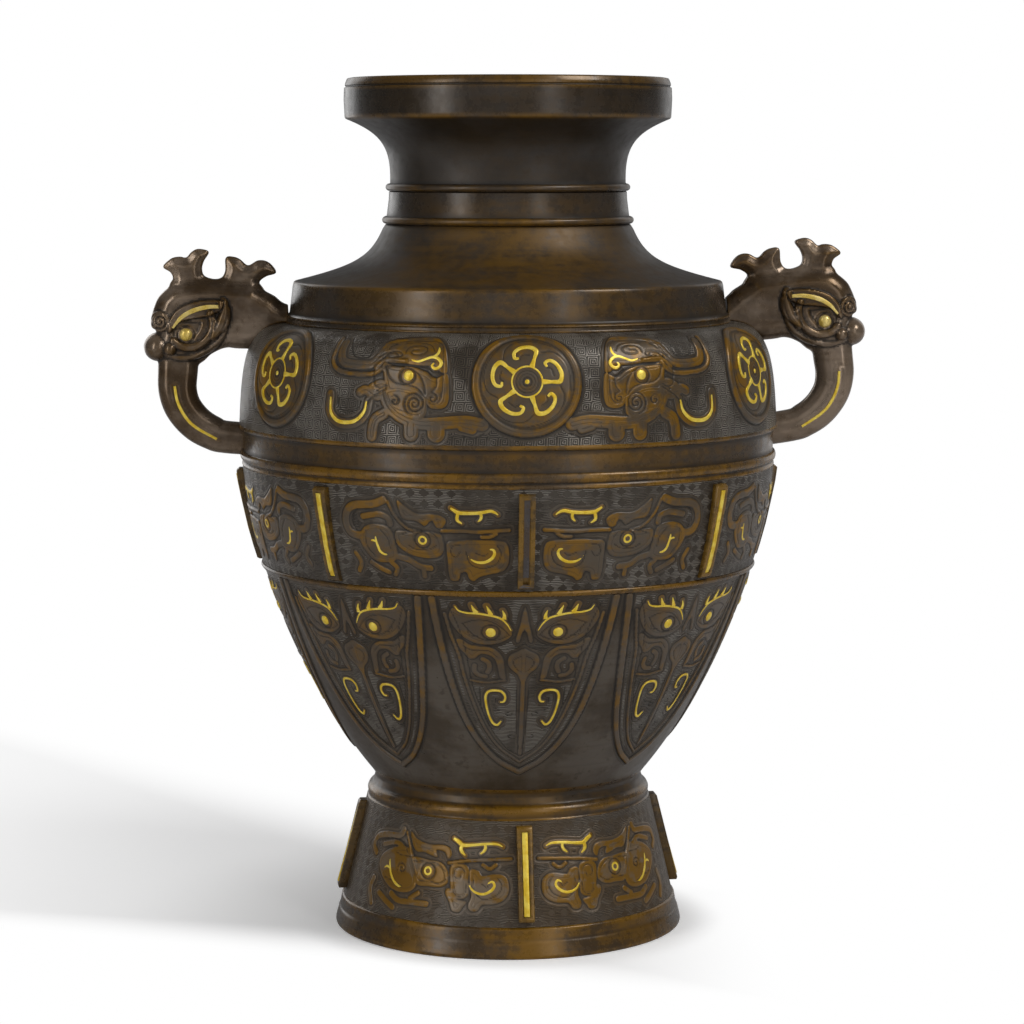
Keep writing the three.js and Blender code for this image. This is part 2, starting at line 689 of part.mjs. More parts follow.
// The closed tube of the loop: one rounded-square ring of points for each step of its path.
function loopBody() {
  const left = beside(LOOP_PATH, LOOP_WIDE.map((w) => w / 2));
  const positions = [];
  const faces = [];
  LOOP_PATH.forEach(([r, z], i) => {
    const [sideR, sideZ] = [left[i][0] - r, left[i][1] - z];
    for (let k = 0; k < LOOP_SIDES; k++) {
      const angle = (2 * Math.PI * (k + 0.5)) / LOOP_SIDES;
      const c = Math.sign(Math.cos(angle)) * Math.abs(Math.cos(angle)) ** LOOP_SQUARENESS;
      const s = Math.sign(Math.sin(angle)) * Math.abs(Math.sin(angle)) ** LOOP_SQUARENESS;
      positions.push(r + sideR * c, (LOOP_THICK / 2) * s, z + sideZ * c);
    }
  });
  const last = (LOOP_PATH.length - 1) * LOOP_SIDES;
  for (let i = 0; i < LOOP_PATH.length - 1; i++) {
    for (let k = 0; k < LOOP_SIDES; k++) {
      const a = i * LOOP_SIDES + k;
      const b = i * LOOP_SIDES + ((k + 1) % LOOP_SIDES);
      faces.push(a, a + LOOP_SIDES, b, b, a + LOOP_SIDES, b + LOOP_SIDES);
    }
  }
  for (let k = 1; k < LOOP_SIDES - 1; k++) {
    faces.push(0, k, k + 1, last, last + k + 1, last + k);
  }
  const geometry = new THREE.BufferGeometry();
  geometry.setAttribute("position", new THREE.Float32BufferAttribute(positions, 3));
  geometry.setIndex(faces);
  return solid(geometry);
}

function bothSides(make) {
  return [make(1), make(-1)];
}

function sideStrip(path, widths, steps, side, low, high, grow = 0) {
  const shape = stripShape(path, widths, steps, grow);
  return side > 0 ? sidePrism(shape, -high, -low) : sidePrism(shape, low, high);
}

function vesselEnvelope() {
  const line = [
    COLLAR_EDGE,
    COLLAR_LOW,
    [COLLAR_FILLET_R, COLLAR_JOINT_Z + COLLAR_FILLET_TALL],
    ...shoulderLine,
    ...waistLine,
    [WAIST_EDGE_R, ENVELOPE_LOW_Z],
  ];
  const grown = beside(line, GAP);
  return turned([[0, ENVELOPE_TOP_Z], [grown[0][0], ENVELOPE_TOP_Z], ...grown, [0, ENVELOPE_LOW_Z]]);
}

function tenons(grow) {
  const half = TENON_THICK / 2 + grow;
  return TENON_HEIGHTS.map(([low, high]) => {
    const surface = radiusAt([...shoulderLine, ...waistLine], (low + high) / 2);
    return block(
      [surface - TENON_IN - grow, -half, low - grow],
      [surface + TENON_OUT + grow, half, high + grow],
    );
  });
}

function tilted(body, degrees) {
  const [out, z] = HANDLE_TILT_PIVOT;
  const x = WAIST_EDGE_R + out;
  return body.translate([-x, 0, -z]).rotate([0, -degrees, 0]).translate([x, 0, z]);
}

function handleGold(grow, tilt) {
  const headSide = HEAD_THICK / 2;
  const loopSide = LOOP_THICK / 2;
  const browTop = headSide + BROW_RISE;
  const out = grow ? 3 : STRIP_PROUD;
  const pieces = {};
  for (const [face, side] of [["back", 1], ["front", -1]]) {
    const eyeAcross = side * (headSide + HANDLE_EYE_PROUD - HANDLE_EYE_R);
    pieces[`${face}_eye`] = ball(HANDLE_EYE, eyeAcross, HANDLE_EYE_R + grow, 1, 8);
    pieces[`${face}_brow`] = sideStrip(
      BROW_PATH, BROW_GOLD_WIDE, 6, side, browTop - STRIP_DEEP - grow, browTop + out, grow,
    );
    pieces[`${face}_strip`] = sideStrip(
      LOOP_GOLD_PATH, LOOP_GOLD_WIDE, 6, side, loopSide - STRIP_DEEP - grow, loopSide + out, grow,
    );
  }
  for (const kind of Object.keys(pieces)) {
    pieces[kind] = tilted(pieces[kind].translate([WAIST_EDGE_R, 0, 0]), tilt);
  }
  return pieces;
}

function handleBody(tilt) {
  const headSide = HEAD_THICK / 2;
  const ridges = bothSides((side) =>
    sideStrip(BROW_PATH, BROW_RIDGE_WIDE, 6, side, headSide - 2, headSide + BROW_RISE),
  );
  const cheeks = bothSides((side) =>
    sideStrip(CHEEK_PATH, CHEEK_WIDE, 6, side, headSide - 2, headSide + CHEEK_RISE),
  );
  const nostrils = bothSides((side) => ball(NOSTRIL_CENTRE, side * headSide, NOSTRIL_R, 1, 6));
  const body = join([
    rounded(HEAD_OUTLINE, HEAD_THICK, HEAD_BEVEL, 2),
    rounded(CREST_OUTLINE, CREST_THICK, 1.0, 1),
    ball(BEAK_CENTRE, 0, BEAK_R, BEAK_STRETCH, 10),
    loopBody(),
    ...ridges,
    ...cheeks,
    ...nostrils,
  ]);
  const placed = tilted(body.translate([WAIST_EDGE_R, 0, 0]), tilt);
  const seated = cut(placed, [vesselEnvelope()]);
  return cut(join([seated, ...tenons(0)]), Object.values(handleGold(INLAY_GAP, tilt)));
}

function addHandles(blank) {
  const slots = [];
  for (const [name, degrees] of [["right", 0], ["left", 180]]) {
    const tilt = HANDLE_TILTS[name];
    addPiece(`${name}_handle`, spun(handleBody(tilt), degrees), "bronze");
    for (const [kind, piece] of Object.entries(handleGold(0, tilt))) {
      addPiece(`${name}_handle_gold_${kind}`, spun(piece, degrees), "gold");
    }
    slots.push(...tenons(GAP).map((slot) => spun(slot, degrees)));
  }
  return cut(blank, slots);
}

// Assembly.

const footBand = [FOOT_BAND_TOP, FOOT_BAND_LOW];
const bellyBarEdge = outFrom(bellyLine, BELLY_BAR_EDGE);
const footBarEdge = outFrom(footBand, FOOT_BAR_EDGE);
const bellySeats = addBars("belly", BELLY_BARS, bellyBarEdge, bellyLine, 0, [0]);
const footSeats = addBars("foot", FOOT_BARS, footBarEdge, footBand, FOOT_TURN_DEG, []);
addPiece("mouth_neck", mouthNeck(), "bronze");
addPiece("shoulder", addHandles(addBeastGold(addMedallions(shoulderBlank()))), "bronze");
addPiece("belly", cut(addBlades(bellyBlank()), bellySeats), "bronze");
addPiece("floor_plate", floorPlate(), "bronze");
addPiece("foot_ring", cut(footBlank(), footSeats), "bronze");

export default vase;
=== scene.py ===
"""Dresses the inlaid bronze vase: turned sections, cast relief, gold inlay and bird-head handles.

Lengths are in millimetres until a mesh is made, which is in metres. Azimuth 0 is the front, at -Y,
and it grows towards +X. An ornament is drawn flat, as distances across and up from its own centre.
"""

import logging
import math
from dataclasses import dataclass, replace
from enum import Enum
from typing import Callable, Optional, Sequence

import bpy
import numpy as np
from mathutils import Euler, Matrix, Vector


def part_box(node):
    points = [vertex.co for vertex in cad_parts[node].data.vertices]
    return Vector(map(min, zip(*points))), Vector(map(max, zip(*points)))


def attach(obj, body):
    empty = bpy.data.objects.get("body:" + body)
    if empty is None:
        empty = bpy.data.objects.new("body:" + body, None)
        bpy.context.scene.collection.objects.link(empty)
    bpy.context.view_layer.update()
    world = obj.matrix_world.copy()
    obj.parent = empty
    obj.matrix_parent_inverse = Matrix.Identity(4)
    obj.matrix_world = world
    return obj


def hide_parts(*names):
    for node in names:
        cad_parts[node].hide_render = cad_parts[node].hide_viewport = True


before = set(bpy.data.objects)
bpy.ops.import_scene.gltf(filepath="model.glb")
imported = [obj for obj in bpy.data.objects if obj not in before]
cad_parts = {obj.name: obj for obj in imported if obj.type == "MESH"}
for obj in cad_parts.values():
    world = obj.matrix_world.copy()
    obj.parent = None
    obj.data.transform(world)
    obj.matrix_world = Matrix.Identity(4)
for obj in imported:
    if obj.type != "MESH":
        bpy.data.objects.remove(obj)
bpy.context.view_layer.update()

LOG = logging.getLogger("vase")
MM = 0.001
COARSE = 1.0
BODY = "root"

Point = tuple[float, float]
Colour = tuple[float, float, float]
Array = np.ndarray

# Heights of the joints between the castings, and the wall behind a relief.
COLLAR_JOINT_Z = 285.8
BAND_LOW_Z = 238.5
WAIST_JOINT_Z = 221.0
BLADE_TOP_Z = 171.0
FOOT_JOINT_Z = 75.0
FOOT_BAND_TOP_Z = 61.0
FOOT_BAND_LOW_Z = 14.0
WALL = 4.5


def bezier(start: Point, pulls: Sequence[Point], end: Point, steps: int) -> list[Point]:
    """Points of a cubic curve.

    Args:
        start: First point.
        pulls: The two control points.
        end: Last point.
        steps: Number of spans.

    Returns:
        The points, both ends included.
    """
    t = np.linspace(0.0, 1.0, steps + 1)[:, None]
    a, b, c, d = (np.array(p, float) for p in (start, pulls[0], pulls[1], end))
    line = (1 - t) ** 3 * a + 3 * (1 - t) ** 2 * t * b + 3 * (1 - t) * t**2 * c + t**3 * d
    return [(float(r), float(z)) for r, z in line]


def spline(points: Sequence[Point], spacing: float, closed: bool = False) -> Array:
    """A smooth line through points.

    Args:
        points: The points, in order.
        spacing: Wanted distance between the points of the result.
        closed: Whether the line joins its own start.

    Returns:
        An array of points, with the position along the input as a third column.
    """
    p = np.array(points, float)
    if len(p) == 2 and not closed:
        count = max(int(np.hypot(*(p[1] - p[0])) / spacing), 1) + 1
        share = np.linspace(0.0, 1.0, count)[:, None]
        return np.hstack([p[0] + share * (p[1] - p[0]), share])
    padded = np.vstack([p[-1], p, p[:2]]) if closed else np.vstack([2 * p[0] - p[1], p, 2 * p[-1] - p[-2]])
    spans = len(p) if closed else len(p) - 1
    out = []
    for i in range(spans):
        a, b, c, d = padded[i : i + 4]
        count = max(int(np.hypot(*(c - b)) / spacing), 2)
        t = np.arange(count)[:, None] / count
        curve = 0.5 * (
            2 * b + (c - a) * t + (2 * a - 5 * b + 4 * c - d) * t**2 + (3 * b - a - 3 * c + d) * t**3
        )
        out.append(np.hstack([curve, i + t]))
    last = p[0] if closed else p[-1]
    out.append(np.array([[last[0], last[1], float(spans)]]))
    return np.vstack(out)


def soften(points: Sequence[Point], radius: float, steps: int = 3) -> list[Point]:
    """Rounds the corners of an open line.

    Args:
        points: The corners.
        radius: How far from a corner its rounding starts.
        steps: Spans in each rounding.

    Returns:
        The line with its corners replaced by short curves.
    """
    p = [np.array(q, float) for q in points]
    out = [tuple(p[0])]
    for before, corner, after in zip(p[:-2], p[1:-1], p[2:]):
        reach_in = min(radius, 0.42 * float(np.hypot(*(corner - before))))
        reach_out = min(radius, 0.42 * float(np.hypot(*(after - corner))))
        start = corner + (before - corner) * reach_in / max(float(np.hypot(*(before - corner))), 1e-6)
        end = corner + (after - corner) * reach_out / max(float(np.hypot(*(after - corner))), 1e-6)
        for t in np.linspace(0.0, 1.0, steps + 1):
            out.append(tuple((1 - t) ** 2 * start + 2 * t * (1 - t) * corner + t**2 * end))
    out.append(tuple(p[-1]))
    return [(float(r), float(z)) for r, z in out]


def fill_in(points: Sequence[Point], spacing: float) -> list[Point]:
    """The same line with its long spans divided.

    Args:
        points: The line.
        spacing: Longest span allowed.

    Returns:
        The divided line.
    """
    out = [points[0]]
    for (r0, z0), (r1, z1) in zip(points[:-1], points[1:]):
        count = max(math.ceil(math.hypot(r1 - r0, z1 - z0) / spacing), 1)
        out += [(r0 + (r1 - r0) * k / count, z0 + (z1 - z0) * k / count) for k in range(1, count + 1)]
    return out


def bead(radius: float, z: float, out: float = 2.1, tall: float = 3.6) -> list[Point]:
    """A half-round moulding on a turned section.

    Args:
        radius: Radius of the wall that it stands on.
        z: Height of its upper edge.
        out: How far it stands out.
        tall: Its height.

    Returns:
        Its profile, from the top down.
    """
    turns = np.linspace(0.0, math.pi, 9)
    return [(radius + out * math.sin(t), z - tall * (1 - math.cos(t)) / 2) for t in turns]


def ramp(values: Array, low: float, high: float) -> Array:
    """Smooth step from 0 at low to 1 at high."""
    t = np.clip((values - low) / (high - low), 0.0, 1.0)
    return t * t * (3 - 2 * t)


def box_blur(field_2d: Array, reach: tuple[int, int]) -> Array:
    """Mean over a window round each point of a grid.

    Args:
        field_2d: The grid.
        reach: Points taken on each side, by rows and by columns.

    Returns:
        The blurred grid.
    """
    out = field_2d
    for axis, n in enumerate(reach):
        pad = [(0, 0), (0, 0)]
        pad[axis] = (n + 1, n)
        total = np.cumsum(np.pad(out, pad, mode="edge"), axis=axis)
        size = 2 * n + 1
        if axis == 0:
            out = (total[size:] - total[:-size]) / size
        else:
            out = (total[:, size:] - total[:, :-size]) / size
    return out


class TurnedSurface:
    """The outside of a turned section, measured along its profile from the top down."""

    def __init__(self, profile: Sequence[Point]) -> None:
        """Measures the profile.

        Args:
            profile: Radius and height of its points, from the top down.
        """
        line = np.array(fill_in(profile, 0.8), float)
        self.arc = np.concatenate([[0.0], np.cumsum(np.hypot(*np.diff(line, axis=0).T))])
        self.radius, self.z = line.T
        slope = np.gradient(line, self.arc, axis=0)
        size = np.hypot(slope[:, 0], slope[:, 1])
        self.out_r, self.out_z = -slope[:, 1] / size, slope[:, 0] / size

    def arc_at(self, z: float) -> float:
        """Distance along the profile of a height."""
        return float(np.interp(-z, -self.z, self.arc))

    def radius_at(self, z: Array) -> Array:
        """Radius of the surface at each height."""
        return np.interp(-np.asarray(z), -self.z, self.radius)

    def place(self, azimuth: Array, arc: Array, height: Array) -> tuple[Array, Array]:
        """Points over the surface and the directions that they face.

        Args:
            azimuth: Angle round the axis, in radians.
            arc: Distance along the profile.
            height: Distance out from the surface.

        Returns:
            Points and unit normals, in a last axis of three.
        """
        r, z = np.interp(arc, self.arc, self.radius), np.interp(arc, self.arc, self.z)
        nr, nz = np.interp(arc, self.arc, self.out_r), np.interp(arc, self.arc, self.out_z)
        size = np.hypot(nr, nz)
        nr, nz = nr / size, nz / size
        sine, cosine = np.sin(azimuth), -np.cos(azimuth)
        far = r + height * nr
        points = np.stack([far * sine, far * cosine, z + height * nz], axis=-1)
        return points, np.stack([nr * sine, nr * cosine, nz + 0 * sine], axis=-1)


@dataclass(frozen=True)
class Chart:
    """Lays a flat ornament on a turned surface.

    Attributes:
        surface: The surface.
        z: Height of the ornament's centre.
        degrees: Azimuth of the ornament's centre.
        mirrored: Whether it is turned left for right.
    """

    surface: TurnedSurface
    z: float
    degrees: float
    mirrored: bool = False

    @property
    def girth(self) -> float:
        """Radius at the ornament's centre, which its distances across are measured on."""
        return float(self.surface.radius_at(self.z))

    def flatten(self, azimuth: Array, arc: Array) -> tuple[Array, Array]:
        """Unrolls points of the surface.

        Args:
            azimuth: Their azimuths, in radians.
            arc: Their distances along the profile.

        Returns:
            Their distances across and up.
        """
        turn = (azimuth - math.radians(self.degrees) + math.pi) % (2 * math.pi) - math.pi
        across = turn * self.girth * (-1 if self.mirrored else 1)
        return across, self.surface.arc_at(self.z) - arc

    def place(self, across: Array, up: Array, height: Array) -> tuple[Array, Array]:
        """Lays flat points on the surface.

        Args:
            across: Their distances across.
            up: Their distances up.
            height: Their distance out from the surface.

        Returns:
            Points and unit normals.
        """
        sign = -1 if self.mirrored else 1
        azimuth = math.radians(self.degrees) + sign * np.asarray(across) / self.girth
        return self.surface.place(azimuth, self.surface.arc_at(self.z) - np.asarray(up), height)


@dataclass(frozen=True)
class SidePlane:
    """The flat side of a handle, whose ornament is drawn by distance from the axis and height.

    Attributes:
        side: 1 for the side towards +Y, -1 for the side towards -Y.
        tilt: Degrees that the handle's head is set above level.
        turned: Whether the handle is the one at -X.
    """

    side: int
    tilt: float
    turned: bool

    def place(self, out: Array, z: Array, height: Array) -> tuple[Array, Array]:
        """Lays flat points on the side.

        Args:
            out: Their distances from the axis.
            z: Their heights before the handle is tilted.
            height: Their distance out from the middle plane.

        Returns:
            Points and unit normals.
        """
        x, up = tip_up(np.asarray(out), np.asarray(z), self.tilt)
        points = np.stack([x, self.side * (height + 0 * x), up], axis=-1)
        facing = np.zeros_like(points)
        facing[..., 1] = self.side
        if self.turned:
            points[..., :2] *= -1
            facing[..., :2] *= -1
        return points, facing


class Form(Enum):
    """How a stroke of an ornament stands on its ground or is cut into it."""

    PLATE = "a raised field with this outline"
    BAND = "a flat raised band along this line"
    RIDGE = "a half-round rib along this line"
    LINE = "a groove along this line"
    DOME = "a round boss at this point"
    SOCKET = "a groove round this point"
    COIL = "a spiral groove round this point"


@dataclass(frozen=True)
class Stroke:
    """One mark of a relief.

    Attributes:
        form: What kind of mark it is.
        path: Its points.
        width: Width of a band, rib or groove, or radius of a round mark.
        rise: Height of a raised mark, or depth of a groove.
    """

    form: Form
    path: tuple[Point, ...]
    width: float = 2.0
    rise: float = 0.6


def nearest(x: Array, y: Array, line: Array) -> Array:
    """Distance of each point from a polyline.

    Args:
        x: First coordinates of the points.
        y: Their second coordinates.
        line: The polyline.

    Returns:
        The distances.
    """
    best = np.full(x.shape, np.inf)
    for (ax, ay), (bx, by) in zip(line[:-1, :2], line[1:, :2]):
        dx, dy = bx - ax, by - ay
        t = np.clip(((x - ax) * dx + (y - ay) * dy) / max(dx * dx + dy * dy, 1e-9), 0.0, 1.0)
        best = np.minimum(best, (x - ax - t * dx) ** 2 + (y - ay - t * dy) ** 2)
    return np.sqrt(best)


def within(x: Array, y: Array, line: Array) -> Array:
    """Whether each point lies inside a closed polyline.

    Args:
        x: First coordinates of the points.
        y: Their second coordinates.
        line: The polyline.

    Returns:
        True or false for each point.
    """
    inside = np.zeros(x.shape, bool)
    for (ax, ay), (bx, by) in zip(line[:-1, :2], line[1:, :2]):
        if ay == by:
            continue
        crosses = (ay > y) != (by > y)
        inside ^= crosses & (x < ax + (y - ay) * (bx - ax) / (by - ay))
    return inside


class Relief:
    """Heights of an ornament over a set of flat points, built up stroke by stroke.

    Attributes:
        SOFT: Width of the slope at the edge of a raised field.
        REACH: How far past a stroke its edge is still noted.
        SOCKET_HALF: Half the width of a ring groove.
        COIL_PITCH: Distance between the turns of a spiral groove.
    """

    SOFT = 0.55
    REACH = 4.0
    SOCKET_HALF = 0.42
    COIL_PITCH = 1.9

    def __init__(self, across: Array, up: Array) -> None:
        """Starts with a level ground.

        Args:
            across: Distances across of the points.
            up: Distances up of the points.
        """
        self.across, self.up = across, up
        self.raised = np.zeros(across.shape)
        self.ribs = np.zeros(across.shape)
        self.grooves = np.zeros(across.shape)
        self.inside = np.full(across.shape, -self.REACH)

    @property
    def height(self) -> Array:
        """Height of each point over the ground."""
        return self.raised + self.ribs - self.grooves

    def add(self, strokes: Sequence[Stroke]) -> "Relief":
        """Adds strokes in order.

        Args:
            strokes: The strokes.

        Returns:
            The relief itself.
        """
        for stroke in strokes:
            reach = stroke.width + self.REACH
            xs, ys = zip(*stroke.path)
            near = (self.across > min(xs) - reach) & (self.across < max(xs) + reach)
            near &= (self.up > min(ys) - reach) & (self.up < max(ys) + reach)
            if near.any():
                draw = self._round
                if stroke.form in (Form.PLATE, Form.BAND):
                    draw = self._lift
                elif stroke.form in (Form.RIDGE, Form.LINE):
                    draw = self._follow
                draw(stroke, near, self.across[near], self.up[near])
        return self

    def _cut(self, near: Array, depth: Array) -> None:
        """Deepens the grooves where they are less deep than this."""
        self.grooves[near] = np.maximum(self.grooves[near], depth)

    def _lift(self, stroke: Stroke, near: Array, x: Array, y: Array) -> None:
        """Raises a plate or a flat band, and notes how far each point lies inside it.

        Args:
            stroke: The stroke.
            near: Which points are near it.
            x: Distances across of these.
            y: Distances up of these.
        """
        is_plate = stroke.form is Form.PLATE
        path = spline(stroke.path, 1.0, closed=is_plate)
        distance = nearest(x, y, path)
        inside = stroke.width / 2 - distance
        if is_plate:
            inside = np.where(within(x, y, path), distance, -distance)
        step = stroke.rise * ramp(inside, -self.SOFT / 2, self.SOFT / 2)
        self.raised[near] = np.maximum(self.raised[near], step)
        self.inside[near] = np.maximum(self.inside[near], inside)

    def _follow(self, stroke: Stroke, near: Array, x: Array, y: Array) -> None:
        """Draws a half-round rib or a groove along a line.

        Args:
            stroke: The stroke.
            near: Which points are near it.
            x: Distances across of these.
            y: Distances up of these.
        """
        distance = nearest(x, y, spline(stroke.path, 1.0)) / (stroke.width / 2)
        if stroke.form is Form.LINE:
            self._cut(near, stroke.rise * np.exp(-(distance**2) * 1.6))
            return
        round_top = np.sqrt(np.clip(1 - distance**2, 0.0, 1.0))
        self.ribs[near] = np.maximum(self.ribs[near], stroke.rise * round_top)
        self.inside[near] = np.maximum(self.inside[near], (1 - distance) * stroke.width / 2)

    def _round(self, stroke: Stroke, near: Array, x: Array, y: Array) -> None:
        """Draws a boss, a ring groove or a spiral groove.

        Args:
            stroke: The stroke.
            near: Which points are near it.
            x: Distances across of these.
            y: Distances up of these.
        """
        dx, dy = x - stroke.path[0][0], y - stroke.path[0][1]
        far = np.hypot(dx, dy)
        if stroke.form is Form.DOME:
            self.ribs[near] += stroke.rise * np.sqrt(np.clip(1 - (far / stroke.width) ** 2, 0.0, 1.0))
        elif stroke.form is Form.SOCKET:
            self._cut(near, stroke.rise * np.exp(-(((far - stroke.width) / self.SOCKET_HALF) ** 2)))
        else:
            wave = np.cos(2 * math.pi * far / self.COIL_PITCH - np.arctan2(dy, dx))
            self._cut(near, stroke.rise * ramp(wave, 0.1, 0.9) * ramp(stroke.width - far, 0.0, 0.5))


@dataclass(frozen=True)
class Wire:
    """A gold wire let into the bronze.

    Attributes:
        path: Its centre line.
        widths: Its width, from its start to its end.
        closed: Whether it joins its own start.
    """

    path: tuple[Point, ...]
    widths: tuple[float, ...]
    closed: bool = False

    def bed(self, rise: float) -> Stroke:
        """The raised bronze that the wire lies in."""
        path = self.path + self.path[:1] if self.closed else self.path
        return Stroke(Form.BAND, path, max(self.widths) + 0.5, rise)


def circle(centre: Point, radius: float, count: int = 12) -> tuple[Point, ...]:
    """Points of a circle, in order round it."""
    turns = [2 * math.pi * k / count for k in range(count)]
    return tuple((centre[0] + radius * math.cos(t), centre[1] + radius * math.sin(t)) for t in turns)


@dataclass(frozen=True)
class Stud:
    """A round gold eye: a flat-domed disc let into the bronze.

    Attributes:
        centre: Its middle.
        radius: Its radius.
    """

    centre: Point
    radius: float


@dataclass(frozen=True)
class Ornament:
    """A motif in relief with its gold.

    Attributes:
        strokes: The relief.
        wires: The gold wires.
        studs: The gold discs.
        bed: Height of the bronze that the gold lies in.
    """

    strokes: tuple[Stroke, ...]
    wires: tuple[Wire, ...] = ()
    studs: tuple[Stud, ...] = ()
    bed: float = 0.25

    def carve(self, across: Array, up: Array, mirror_too: bool = False) -> Relief:
        """Builds the relief over flat points.

        Args:
            across: Distances across of the points.
            up: Distances up of the points.
            mirror_too: Whether the motif is half of a symmetrical one.

        Returns:
            The relief.
        """
        if mirror_too:
            across = -np.abs(across)
        relief = Relief(across, up).add(self.strokes)
        beds = [wire.bed(self.bed) for wire in self.wires]
        for stud in self.studs:
            x, y = stud.centre
            beds.append(Stroke(Form.BAND, ((x, y), (x + 0.01, y)), 2 * stud.radius + 1.2, self.bed))
        return relief.add(beds)


def plate(*path: Point, rise: float = 0.42) -> Stroke:
    """A raised field."""
    return Stroke(Form.PLATE, path, 1.0, rise)


def band(width: float, *path: Point, rise: float = 0.38) -> Stroke:
    """A flat raised band."""
    return Stroke(Form.BAND, path, width, rise)


def ridge(width: float, *path: Point) -> Stroke:
    """A half-round rib."""
    return Stroke(Form.RIDGE, path, width, 0.3 + 0.22 * width)


def line(width: float, *path: Point) -> Stroke:
    """A groove."""
    return Stroke(Form.LINE, path, width, 0.18 + 0.12 * width)


def mark(form: Form, centre: Point, radius: float, rise: float = 0.4) -> Stroke:
    """A round mark."""
    return Stroke(form, (centre,), radius, rise)


def eye_ring(centre: Point) -> Wire:
    """The gold ring of a small eye."""
    return Wire(circle(centre, 1.6), (1.25,), closed=True)


